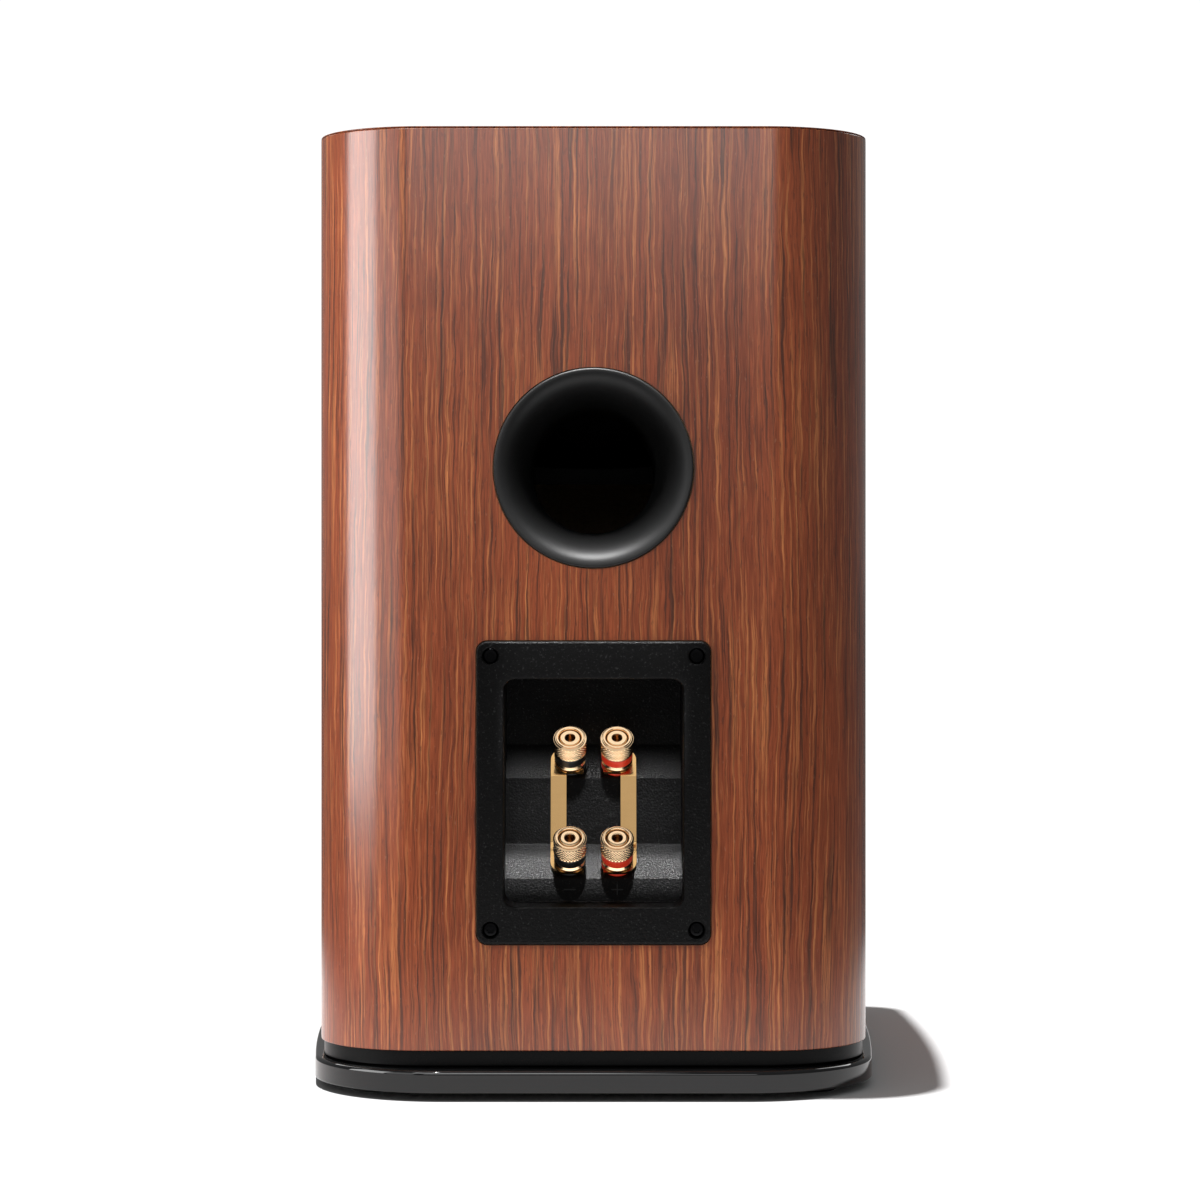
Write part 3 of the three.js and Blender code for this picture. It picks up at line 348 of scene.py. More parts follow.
def grained_plastic(name):
    """Black moulded plastic with a spark-eroded grain, and lighter speckles painted into its colour as glints."""
    g = Graph(name, {"Specular IOR Level": 0.2})
    place = g.where()
    pits = g.cells(place, 1200)
    fine = g.noise(place, 2600, 3, 0.6)
    painted_glints = g.window(g.noise(place, 1150, 2, 0.7), 0.60, 0.70)
    height = g.math("ADD", g.math("MULTIPLY", pits, 0.7), g.math("MULTIPLY", fine, 0.5))
    # painted glints: lighter speckles in the base colour stand in for light caught by the grain's tips
    g.set("Base Color", g.mix(painted_glints, (0.0022, 0.0022, 0.0024), (0.03, 0.03, 0.03)))
    g.set("Roughness", g.window(fine, 0.3, 0.7, 0.38, 0.56))
    g.set("Normal", g.bump(height, 0.22, 0.9))
    return g.material


def metal(name, colour, roughness, lines=(1, 1, 1), wear=0.12, worn=None):
    """Plated, turned or ground metal; lines stretches its fine marks along an axis."""
    g = Graph(name, {"Metallic": 1.0})
    place = g.where()
    marks = g.noise(g.stretched(place, tuple(900 * s for s in lines)), 1, 4, 0.65)
    patches = g.noise(place, 120, 3)
    worn = worn or tuple(c * 0.72 for c in colour)
    g.set("Base Color", g.mix(g.window(patches, 0.45, 0.75, 0.0, wear * 2), colour, worn))
    g.set("Roughness", g.window(marks, 0.3, 0.75, max(roughness - 0.05, 0.03), roughness + wear))
    g.set("Normal", g.bump(marks, 0.004, 0.25))
    return g.material


def woven(name, colour, thread_mm, fuzz=0.6):
    """Coarse cloth or felt: crossed threads, sheen and uneven colour."""
    g = Graph(name, {"Sheen Weight": fuzz, "Sheen Roughness": 0.5, "Specular IOR Level": 0.2})
    place = g.where()
    pitch = 1 / (thread_mm * MM)
    waves = [g.node("ShaderNodeTexWave", {"Vector": place, "Scale": pitch / 20, "Distortion": 1.5,
                                          "Detail": 2.0}, bands_direction=axis) for axis in ("X", "Z")]
    threads = g.math("MAXIMUM", *[g.node("ShaderNodeSeparateColor", {"Color": w}) for w in waves])
    clouds = g.noise(place, 80, 4)
    dark = tuple(c * 0.6 for c in colour)
    tone = g.math("ADD", g.math("MULTIPLY", threads, 0.5), g.math("MULTIPLY", clouds, 0.5))
    g.set("Base Color", g.ramp(tone, [(0.25, dark), (0.75, colour)]))
    g.set("Roughness", g.window(clouds, 0.3, 0.7, 0.8, 1.0))
    g.set("Normal", g.bump(tone, 0.3, 0.7))
    return g.material


def enamelled_wire(name):
    """Copper winding: fine turns with varnish between them."""
    g = Graph(name, {"Metallic": 1.0, "Coat Weight": 0.6, "Coat Roughness": 0.15})
    place = g.where()
    turns = g.node("ShaderNodeTexWave", {"Vector": place, "Scale": 100.0, "Distortion": 0.4},
                   bands_direction="Z")
    patches = g.noise(place, 200, 3)
    g.set("Base Color", g.ramp(patches, [(0.3, (0.42, 0.16, 0.06)), (0.7, (0.72, 0.33, 0.16))]))
    g.set("Roughness", g.window(patches, 0.3, 0.7, 0.22, 0.42))
    g.set("Normal", g.bump(g.node("ShaderNodeSeparateColor", {"Color": turns}), 0.25, 0.8))
    return g.material


def circuit_board(name):
    """Green solder mask over copper areas, with a scatter of tinned pads."""
    g = Graph(name, {"Coat Weight": 0.5, "Coat Roughness": 0.1})
    place = g.where()
    areas = g.window(g.cells(place, 90, "DISTANCE_TO_EDGE"), 0.05, 0.08)
    pads = g.window(g.cells(place, 140), 0.16, 0.12)
    mask = g.mix(areas, (0.006, 0.05, 0.02), (0.012, 0.11, 0.04))
    g.set("Base Color", g.mix(pads, mask, (0.62, 0.62, 0.6)))
    g.set("Metallic", pads)
    g.set("Roughness", g.window(g.noise(place, 600, 2), 0.3, 0.7, 0.28, 0.45))
    g.set("Normal", g.bump(g.math("ADD", areas, pads), 0.05, 0.6))
    return g.material


BLACK = (0.0025, 0.0025, 0.0026)
FINISHES = {
    "walnut_veneer": veneer,
    "top_veneer": veneer,
    "raw_board": raw_board,
    "gloss_black": lacquer,
    "satin_black": lambda name: moulding(name, BLACK, 0.3, specular=0.12),
    "foot_rubber": lambda name: moulding(name, (0.018, 0.018, 0.018), 0.8, 0.6, 0.05),
    "port_plastic": lambda name: moulding(name, BLACK, 0.48, 0.4, 0.006),
    "cup_plastic": grained_plastic,
    "raised_sign": lambda name: moulding(name, (0.016, 0.016, 0.016), 0.35),
    "gasket_foam": lambda name: moulding(name, (0.03, 0.03, 0.03), 0.9, 0.8, 0.12, 0.2),
    "black_screw": lambda name: metal(name, (0.02, 0.02, 0.021), 0.2, wear=0.1),
    "gold_plate": lambda name: metal(name, (0.93, 0.66, 0.40), 0.16, wear=0.08, worn=(0.86, 0.56, 0.32)),
    "bent_brass": lambda name: metal(name, (0.72, 0.45, 0.19), 0.15, (0.2, 1, 1), 0.1, (0.58, 0.33, 0.13)),
    "red_plastic": lambda name: moulding(name, (0.62, 0.035, 0.012), 0.3),
    "black_plastic": lambda name: moulding(name, BLACK, 0.3),
    "trim_ring": lambda name: moulding(name, BLACK, 0.38, 0.4, 0.008),
    "surround_rubber": lambda name: moulding(name, (0.015, 0.015, 0.016), 0.6, 0.3, 0.012),
    "cone_paper": lambda name: moulding(name, (0.022, 0.022, 0.024), 0.42, 0.9, 0.03, 0.15),
    "copper_coil": enamelled_wire,
    "spider_cloth": lambda name: woven(name, (0.58, 0.33, 0.12), 0.7, 0.2),
    "motor_steel": lambda name: metal(name, (0.50, 0.50, 0.49), 0.32, (1, 0.15, 1)),
    "ferrite": lambda name: moulding(name, (0.035, 0.035, 0.037), 0.62, 0.5, 0.04, 0.1),
    "cast_basket": lambda name: moulding(name, (0.03, 0.03, 0.032), 0.5, 0.7, 0.05, 0.1),
    "waveguide_plastic": lambda name: moulding(name, BLACK, 0.36, 0.35, 0.008),
    "dome_metal": lambda name: metal(name, (0.66, 0.68, 0.70), 0.24),
    "circuit_board": circuit_board,
    "film_capacitor": lambda name: moulding(name, (0.02, 0.06, 0.32), 0.3),
    "ceramic_resistor": lambda name: moulding(name, (0.62, 0.58, 0.50), 0.75, 0.5, 0.05, 0.05),
    "damping_wool": lambda name: woven(name, (0.72, 0.70, 0.64), 1.4, 0.8),
    "lead_black": lambda name: moulding(name, (0.014, 0.014, 0.015), 0.45, 0.4, 0.01),
    "lead_red": lambda name: moulding(name, (0.5, 0.02, 0.012), 0.42, 0.4, 0.01),
}
made_finishes = {}


def finish_of(slot):
    if slot not in made_finishes:
        made_finishes[slot] = FINISHES[slot](slot)
    return made_finishes[slot]


# ------------------------------------------------------------------ shapes

def arc(centre_x, centre_y, radius, start, end, steps):
    angles = np.linspace(start, end, steps + 1)
    return np.column_stack([centre_x + radius * np.cos(angles), centre_y + radius * np.sin(angles)])


def joined(*runs):
    """Runs of points as one outline, each point that repeats the one before it left out."""
    points = np.vstack([np.asarray(run, float) for run in runs])
    fresh = np.linalg.norm(points - np.roll(points, 1, axis=0), axis=1) > 1e-6
    return points[fresh]


def fillet(points, radius, steps=4, closed=True):
    """An outline with its corners turned into arcs, of one radius or of one for each corner."""
    points = np.asarray(points, float)
    radii = np.broadcast_to(radius, len(points))
    result = []
    for i, (corner, r) in enumerate(zip(points, radii)):
        ends_here = not closed and i in (0, len(points) - 1)
        if r == 0 or ends_here:
            result.append(corner)
            continue
        back = points[i - 1] - corner
        ahead = points[(i + 1) % len(points)] - corner
        back_length, ahead_length = np.linalg.norm(back), np.linalg.norm(ahead)
        back, ahead = back / back_length, ahead / ahead_length
        half = math.acos(np.clip(back @ ahead, -1, 1)) / 2
        if half > math.radians(88):
            result.append(corner)
            continue
        reach = min(r / math.tan(half), 0.49 * back_length, 0.49 * ahead_length)
        centre = corner + (back + ahead) / np.linalg.norm(back + ahead) * reach / math.cos(half)
        first, last = corner + back * reach - centre, corner + ahead * reach - centre
        turn = math.pi - 2 * half
        for k in range(steps + 1):
            share = k / steps
            spoke = first * math.sin((1 - share) * turn) + last * math.sin(share * turn)
            result.append(centre + spoke / math.sin(turn))
    return np.array(result)


def rounded_rectangle(width, height, radius, steps=8):
    x, z = width / 2, height / 2
    return fillet([(x, -z), (x, z), (-x, z), (-x, -z)], radius, steps)


def solid(name, points, faces):
    """A mesh object from points in millimetres, its faces turned to point out."""
    mesh = bpy.data.meshes.new(name)
    mesh.from_pydata([tuple(p) for p in np.asarray(points, float) * MM], [], [tuple(f) for f in faces])
    shape = bmesh.new()
    shape.from_mesh(mesh)
    bmesh.ops.remove_doubles(shape, verts=shape.verts, dist=1e-7)
    bmesh.ops.recalc_face_normals(shape, faces=shape.faces)
    shape.to_mesh(mesh)
    shape.free()
    result = bpy.data.objects.new(name, mesh)
    bpy.context.scene.collection.objects.link(result)
    return result


def loft(name, rings, closed=False):
    """A skin through rings of equal length, capped at both ends unless it closes on itself."""
    count, levels = len(rings[0]), len(rings)
    faces = []
    for k in range(levels if closed else levels - 1):
        low, high = k * count, ((k + 1) % levels) * count
        for i in range(count):
            j = (i + 1) % count
            faces.append((low + i, low + j, high + j, high + i))
    if not closed:
        faces.append(tuple(range(count)))
        faces.append(tuple(range((levels - 1) * count, levels * count)))
    return solid(name, np.vstack(rings), faces)


def upright_ring(outline, z):
    return np.column_stack([outline, np.full(len(outline), z)])


def facing_ring(outline, y, centre_z=0.0):
    """An outline drawn in X and Z, at depth y."""
    return np.column_stack([outline[:, 0], np.full(len(outline), y), outline[:, 1] + centre_z])


def facing_slab(name, outline, y_low, y_high, centre_z=0.0):
    """An outline drawn in X and Z, between two Y."""
    return loft(name, [facing_ring(outline, y, centre_z) for y in (y_low, y_high)])


def plate(name, size, edge, centre_z):
    """A rounded plate of size (width, height, corner) that draws in by inset at y, for (inset, y) in edge."""
    width, height, corner = size
    return loft(name, [facing_ring(rounded_rectangle(width - 2 * inset, height - 2 * inset, corner - inset),
                                   y, centre_z) for inset, y in edge])


def sideways_slab(name, outline, x_low, x_high):
    """An outline drawn in Y and Z, between two X."""
    outline = np.asarray(outline, float)
    return loft(name, [np.column_stack([np.full(len(outline), x), outline]) for x in (x_low, x_high)])


def turned(name, profile, centre_z=0.0, centre_x=0.0, segments=96):
    """A profile of [radius, y] turned about an axis along Y."""
    profile = np.asarray(profile, float)
    closes_on_axis = profile[:, 0].min() < 1e-9
    rings = []
    for angle in np.arange(segments) / segments * 2 * math.pi:
        x = centre_x + profile[:, 0] * math.cos(angle)
        z = centre_z + profile[:, 0] * math.sin(angle)
        rings.append(np.column_stack([x, profile[:, 1], z]))
    count = len(profile)
    faces = []
    for k in range(segments):
        here, there = k * count, ((k + 1) % segments) * count
        for i in range(count if not closes_on_axis else count - 1):
            j = (i + 1) % count
            corners = [here + i, here + j, there + j, there + i]
            if profile[i, 0] < 1e-9:
                corners = corners[:3]
            elif profile[j, 0] < 1e-9:
                corners = [corners[0], corners[1], corners[3]]
            faces.append(corners)
    return solid(name, np.vstack(rings), faces)


def combine(body, other, operation="DIFFERENCE"):
    """Cuts, joins or intersects body with another solid, which is used up."""
    step = body.modifiers.new("combine", "BOOLEAN")
    step.object, step.operation, step.solver = other, operation, "EXACT"
    depsgraph = bpy.context.evaluated_depsgraph_get()
    result = bpy.data.meshes.new_from_object(body.evaluated_get(depsgraph))
    body.modifiers.clear()
    body.data = result
    bpy.data.objects.remove(other)
    return body


def soften(body, width_mm, angle=40, segments=3):
    """Rounds the edges that are sharper than angle."""
    step = body.modifiers.new("soften", "BEVEL")
    step.width = width_mm * MM
    step.segments = segments
    step.limit_method = "ANGLE"
    step.angle_limit = math.radians(angle)
    step.use_clamp_overlap = True
    depsgraph = bpy.context.evaluated_depsgraph_get()
    result = bpy.data.meshes.new_from_object(body.evaluated_get(depsgraph))
    body.modifiers.clear()
    body.data = result
    return body


def paint(piece, finish):
    """Gives the piece a finish other than its slot's."""
    piece.data.materials.clear()
    piece.data.materials.append(finish_of(finish))


def dress(piece, slot, body="cabinet", stands_for=(), angle=32):
    """Smooth shading, the body the piece moves with, and the slot's finish unless it has one."""
    piece.data.shade_smooth()
    piece.data.set_sharp_from_angle(angle=math.radians(angle))
    even = piece.modifiers.new("even_normals", "WEIGHTED_NORMAL")
    even.keep_sharp = True
    if not piece.data.materials:
        piece.data.materials.append(finish_of(slot))
    if body:
        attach(piece, body)
    if stands_for:
        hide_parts(*stands_for)
    return piece


def stand_for(piece, node, angle=32):
    """The piece takes a CAD node's place, with its body and finish."""
    return dress(piece, SLOT_OF[node], BODY_OF[node], [node], angle)


# ------------------------------------------------------------------ cabinet

WRAP_LOW, WRAP_HIGH = box_mm("cabinet_wrap")
FRONT_Y = box_mm("front_baffle")[0].y
BAFFLE_REAR_Y = box_mm("front_baffle")[1].y
REAR_Y = WRAP_HIGH.y
HALF_WIDTH = 112.5
SIDE_RADIUS = 1555
WIDEST_Y = -36
REAR_CORNER = 41
FRONT_EDGE = 19
WALL = 18
TOP_SHEET = 0.6  # thickness of the veneer laid over the top
PORT_Z = 240
CUP_Z = 116.5


def plan(grow, rear_y, rear_radius):
    """A plan outline with bowed sides, grown outwards by grow, and rear corners of its own."""
    side_x = HALF_WIDTH - SIDE_RADIUS
    side_radius = SIDE_RADIUS + grow
    front_radius = FRONT_EDGE + grow
    corner_y = rear_y - rear_radius
    edge_y = FRONT_Y + FRONT_EDGE
    rear_x = side_x + math.sqrt((side_radius - rear_radius) ** 2 - (corner_y - WIDEST_Y) ** 2)
    front_x = side_x + math.sqrt((side_radius - front_radius) ** 2 - (edge_y - WIDEST_Y) ** 2)
    rear_angle = math.atan2(corner_y - WIDEST_Y, rear_x - side_x)
    front_angle = math.atan2(edge_y - WIDEST_Y, front_x - side_x)
    right = joined(
        arc(front_x, edge_y, front_radius, -math.pi / 2, front_angle, 12),
        arc(side_x, WIDEST_Y, side_radius, front_angle, rear_angle, 24),
        arc(rear_x, corner_y, rear_radius, rear_angle, math.pi / 2, 28),
    )
    return np.vstack([right, right[::-1] * (-1, 1)])


def cabinet_plan(inset=0.0):
    return plan(-inset, REAR_Y - inset, REAR_CORNER - inset)


def distance_round(points, origin_y):
    """How far round the cabinet each [x, y] lies from the middle of the face at origin_y, and how deep."""
    outline = cabinet_plan()
    half = outline[: len(outline) // 2]
    chain = np.vstack([[0, FRONT_Y], half, [0, REAR_Y]])
    if origin_y > 0:
        chain = chain[::-1]
    steps = np.diff(chain, axis=0)
    lengths = np.linalg.norm(steps, axis=1)
    starts = np.concatenate([[0], np.cumsum(lengths)[:-1]])
    folded = np.column_stack([np.abs(points[:, 0]), points[:, 1]])
    offsets = folded[:, None, :] - chain[None, :-1, :]
    share = np.clip((offsets * steps).sum(-1) / lengths**2, 0, 1)
    away = np.linalg.norm(offsets - share[..., None] * steps, axis=2)
    nearest = away.argmin(axis=1)
    rows = np.arange(len(points))
    along = starts[nearest] + share[rows, nearest] * lengths[nearest]
    return np.sign(points[:, 0]) * along, away.min(axis=1)


def lay_veneer(piece, origin_y):
    """Upright grain round the outside, and bare board on faces that don't lie on the outside."""
    mesh = piece.data
    count = len(mesh.vertices)
    points = np.empty(count * 3)
    mesh.vertices.foreach_get("co", points)
    points = points.reshape(-1, 3) / MM
    across, depth = distance_round(points[:, :2], origin_y)
    layer = mesh.uv_layers.new(name="grain")
    corners = np.empty(len(mesh.loops), int)
    mesh.loops.foreach_get("vertex_index", corners)
    flat = np.column_stack([across[corners], points[corners, 2]]) * MM
    layer.data.foreach_set("uv", flat.ravel())
    mesh.materials.clear()
    mesh.materials.append(finish_of("walnut_veneer"))
    mesh.materials.append(finish_of("raw_board"))
    for face in mesh.polygons:
        face.material_index = int(max(depth[v] for v in face.vertices) > 1.5)


def front_end(run, sign):
    """Where one side of the run meets the baffle's plane, taken along its own slope."""
    front = BAFFLE_REAR_Y + GAP
    near = run[run[:, 0] * sign > 0]
    near = near[near[:, 1].argsort()][:2]
    slope = (near[1, 0] - near[0, 0]) / (near[1, 1] - near[0, 1])
    return [near[0, 0] + slope * (front - near[0, 1]), front]


def build_wrap():
    """Sides and rear in one bent shell, cut for the port and the terminal panel."""
    outer, inner = [run[run[:, 1] > BAFFLE_REAR_Y + GAP] for run in (cabinet_plan(), cabinet_plan(WALL))]
    section = np.vstack([front_end(outer, 1), outer, front_end(outer, -1),
                         front_end(inner, -1), inner[::-1], front_end(inner, 1)])
    bottom, top = WRAP_LOW.z, WRAP_HIGH.z - TOP_SHEET
    wrap = loft("cabinet_wrap_veneered", [upright_ring(section, z) for z in (bottom, top)])
    soften(wrap, 0.5, angle=60)
    rim, seat = PORT_RIM + 0.4, REAR_Y - PORT_LIP - GAP
    port = [[0, 0], [PORT_HOLE, 0], [PORT_HOLE, seat], [rim, seat], [rim, 200], [0, 200]]
    combine(wrap, turned("cut", port, PORT_Z))
    combine(wrap, cup_opening())
    rebate = rounded_rectangle(FLANGE_WIDTH + 0.8, FLANGE_HEIGHT + 0.8, FLANGE_CORNER + 0.4)
    combine(wrap, facing_slab("cut", rebate, REAR_Y - REBATE, 200, CUP_Z))
    for x, z in SCREW_PLACES:
        combine(wrap, turned("cut", [[0, REAR_Y - 16], [2, REAR_Y - 16], [2, 200], [0, 200]], z, x, 24))
    lay_veneer(wrap, REAR_Y)
    stand_for(wrap, "cabinet_wrap")


def build_top():
    """The top panel with one sheet of veneer laid over the whole cabinet, its grain front to back."""
    top = WRAP_HIGH.z
    front = BAFFLE_REAR_Y + GAP
    rings = []
    for inset, z in [(WALL + GAP, box_mm("top_panel")[0].z), (WALL + GAP, top - TOP_SHEET),
                     (0.35, top - TOP_SHEET), (0.05, top - 0.45), (0.0, top - 0.3), (0.12, top - 0.1),
                     (0.4, top)]:
        outline = cabinet_plan(inset)
        if inset > 1:
            outline[:, 1] = np.maximum(outline[:, 1], front)
        rings.append(upright_ring(outline, z))
    sheet = loft("top_panel_veneered", rings)
    mesh = sheet.data
    layer = mesh.uv_layers.new(name="grain")
    for loop in mesh.loops:
        place = mesh.vertices[loop.vertex_index].co
        layer.data[loop.index].uv = (place.x, place.y)
    mesh.materials.append(finish_of("top_veneer"))
    mesh.materials.append(finish_of("raw_board"))
    for face in mesh.polygons:
        face.material_index = int(face.center.z / MM < top - TOP_SHEET - 0.1)
    stand_for(sheet, "top_panel")


def build_baffle():
    """The front panel, rebated for both drivers."""
    bottom, top = box_mm("front_baffle")[0].z, WRAP_HIGH.z - TOP_SHEET
    outline = cabinet_plan()
    outline[:, 1] = np.minimum(outline[:, 1], BAFFLE_REAR_Y)
    front = outline[outline[:, 1] < BAFFLE_REAR_Y]
    side_x = box_mm("front_baffle")[1].x
    section = np.vstack([front[: len(front) // 2], [side_x, BAFFLE_REAR_Y], [-side_x, BAFFLE_REAR_Y],
                         front[len(front) // 2:]])
    baffle = loft("front_baffle_veneered", [upright_ring(section, z) for z in (bottom, top)])
    soften(baffle, 0.5, angle=60)
    rebate_y = FRONT_Y + 5
    combine(baffle, turned("cut", [[0, -200], [WOOFER_FLANGE + 2.4, -200], [WOOFER_FLANGE + 2.4, rebate_y],
                                   [WOOFER_HOLE, rebate_y], [WOOFER_HOLE, 0], [0, 0]], WOOFER_Z))
    rebate = rounded_rectangle(GUIDE_WIDTH + 2 * GAP, GUIDE_HEIGHT + 2 * GAP, GUIDE_CORNER + GAP)
    combine(baffle, facing_slab("cut", rebate, -200, FRONT_Y + 3, TWEETER_Z))
    hole = rounded_rectangle(164, 102, 42)
    combine(baffle, facing_slab("cut", hole, -200, 0, TWEETER_Z))
    lay_veneer(baffle, FRONT_Y)
    stand_for(baffle, "front_baffle")


# ------------------------------------------------------------------ plinth

def edged(low, high, bottom_radius, top_radius, steps=5):
    """[inset, height] pairs of a slab's side, with rounded bottom and top edges."""
    bottom = [(bottom_radius * (1 - math.sin(a)), low + bottom_radius * (1 - math.cos(a)))
              for a in np.linspace(0, math.pi / 2, steps)]
    top = [(top_radius * (1 - math.cos(a)), high - top_radius * (1 - math.sin(a)))
           for a in np.linspace(0, math.pi / 2, steps)]
    return bottom + top


def build_plinth():
    low, high = box_mm("base_plate")
    rear, corner = high.y, 52
    rings = [upright_ring(plan(2.5 - inset, rear - inset, corner - inset), z)
             for inset, z in edged(low.z, high.z, 0.8, 1.6)]
    stand_for(loft("base_plate_lacquered", rings), "base_plate")
    low, high = box_mm("plinth_neck")
    rings = [upright_ring(plan(-1.2 - inset, high.y - inset, REAR_CORNER - inset), z)
             for inset, z in edged(low.z, high.z, 0.5, 0.4)]
    neck = loft("plinth_neck_lacquered", rings)
    paint(neck, "satin_black")
    stand_for(neck, "plinth_neck")
    for node in [n for n in frame["nodes"] if n.startswith("foot_")]:
        low, high = box_mm(node)
        centre = (low + high) / 2
        profile = fillet([(0, 0), (10, 0), (10, high.z), (0, high.z)], (0, 0.7, 0.5, 0), 4, closed=False)
        foot = turned(node + "_moulded", profile, segments=48)
        place = Matrix.Translation((centre.x * MM, centre.y * MM, 0))
        foot.data.transform(place @ Matrix.Rotation(math.pi / 2, 4, "X"))
        stand_for(foot, node)


# ------------------------------------------------------------------ bass port

PORT_RIM = 38
PORT_THROAT = 24.6
PORT_FLARE = 38
PORT_LENGTH = 112
PORT_SKIN = 2.5
PORT_LIP = 2
PORT_PROUD = 1
PORT_HOLE = PORT_RIM - 2.1


def flare(skin, steps):
    """The trumpet curve from the rim to the throat, as [radius, y], grown outwards by skin."""
    rise = PORT_RIM - 0.8 - PORT_THROAT
    angles = np.linspace(0, math.pi / 2, steps + 1)
    radii = PORT_THROAT + rise * (1 - np.sin(angles)) + skin
    return np.column_stack([radii, REAR_Y + PORT_PROUD - PORT_FLARE * (1 - np.cos(angles))])


def build_port():
    outer = flare(PORT_SKIN, 16)
    outer = outer[(outer[:, 0] < PORT_HOLE - GAP) & (outer[:, 1] < REAR_Y - PORT_LIP - 1)][::-1]
    lip_y, face_y = REAR_Y - PORT_LIP, REAR_Y + PORT_PROUD
    rim = arc(PORT_RIM - 0.8, face_y - 0.8, 0.8, 0, math.pi / 2, 6)
    end = REAR_Y - PORT_LENGTH
    tube_end = [[PORT_THROAT, end], [PORT_THROAT + PORT_SKIN, end]]
    seat = [[PORT_HOLE - GAP, lip_y - 1], [PORT_HOLE - GAP, lip_y], [PORT_RIM, lip_y]]
    profile = joined(flare(0, 40), tube_end, outer, seat, rim)
    stand_for(turned("port_tube_moulded", profile, PORT_Z, segments=160), "port_tube")
    sleeve = PORT_THROAT + PORT_SKIN + GAP
    inner = [(sleeve, end + 12), (sleeve + PORT_SKIN, end + 12), (sleeve + PORT_SKIN, end - 2),
             (PORT_THROAT + 8, end - 13), (PORT_THROAT + 13, end - 20), (PORT_THROAT + 10.5, end - 20),
             (PORT_THROAT + 5.5, end - 13), (PORT_THROAT, end - 3), (PORT_THROAT, end - GAP),
             (sleeve, end - GAP)]
    radii = (0.4, 0.6, 8, 14, 0.8, 0.8, 14, 8, 0.1, 0.1)
    stand_for(turned("port_inner_flare_moulded", fillet(inner, radii, 6), PORT_Z), "port_inner_flare")


# ------------------------------------------------------------------ terminal cup

FLANGE_WIDTH = 89
FLANGE_HEIGHT = 115.2
FLANGE_CORNER = 4.2
FLANGE_THICKNESS = 4
FACE_Y = REAR_Y + 2
REBATE = 3
RECESS_WIDTH = 68.4
RECESS_HEIGHT = 86.6
RECESS_CORNER = 4.5
CUP_SKIN = 2.5
TILT = math.radians(44)
SHELF_RUN = 12
BACK_Y = FACE_Y - 50
UPPER_SHELF = (BACK_Y + SHELF_RUN / 2, 126.2)
LOWER_SHELF = (BACK_Y + 1.5 * SHELF_RUN + 4, 88.4)
DOWN_SHELF = np.array([math.sin(TILT), -math.cos(TILT)])
HALF_SHELF = SHELF_RUN / DOWN_SHELF[0] / 2
WALL_LEAN = 2  # how far the wall under the lower shelf leans out
SCREW_PLACES = [(x, CUP_Z + z) for x in (39.2, -39.2) for z in (52, -52)]
SCREW_HEAD = 2.9
SCREW_HEAD_HEIGHT = 1.4
SCREW_SUNK = 1.9
POST_X = 9.15
POST_DOWN = 1.6  # from a shelf's middle down its slope to the post


def on_shelf(shelf, distance):
    return np.array(shelf) + DOWN_SHELF * distance


def cup_opening():
    """A cutter for the hole that the cup's recess passes through."""
    slack = 2 * CUP_SKIN + 1
    hole = rounded_rectangle(RECESS_WIDTH + slack, RECESS_HEIGHT + slack, RECESS_CORNER + 3)
    return facing_slab("cut", hole, 0, 200, CUP_Z)


def recess(name, grow, shift):
    """The hollow with its two sloping shelves, or its outer form when grown and moved inwards."""
    top, bottom = CUP_Z + RECESS_HEIGHT / 2 + grow, CUP_Z - RECESS_HEIGHT / 2 - grow
    ends = (-HALF_SHELF, HALF_SHELF)
    shelves = [on_shelf(shelf, end) for shelf in (UPPER_SHELF, LOWER_SHELF) for end in ends]
    wall_foot = LOWER_SHELF[0] + SHELF_RUN / 2 + WALL_LEAN
    side = [(FACE_Y + 1, top), (BACK_Y, top), *shelves, (wall_foot, bottom), (FACE_Y + 1, bottom)]
    side = fillet(np.array(side) - (shift, 0), (0, 1.5, 0.7, 0.5, 0.7, 0.5, 0.8, 0), 4)
    half = RECESS_WIDTH / 2 + grow
    hollow = sideways_slab(name, side, -half, half)
    view = rounded_rectangle(RECESS_WIDTH + 2 * grow, RECESS_HEIGHT + 2 * grow, RECESS_CORNER + grow)
    return combine(hollow, facing_slab("cut", view, 0, FACE_Y + 0.5, CUP_Z), "INTERSECT")


def post_stations():
    """Each post's name, place and axis, from the joint its knob turns on."""
    for name, joint in JOINTS.items():
        if name.startswith("knob_turn_"):
            yield name.removeprefix("knob_turn_"), Vector(joint["pos_m"]), Vector(joint["axis"])


def along_axis(place, axis):
    """The matrix that takes the Y axis to a post's axis."""
    return Matrix.Translation(place) @ Vector((0, 1, 0)).rotation_difference(axis).to_matrix().to_4x4()


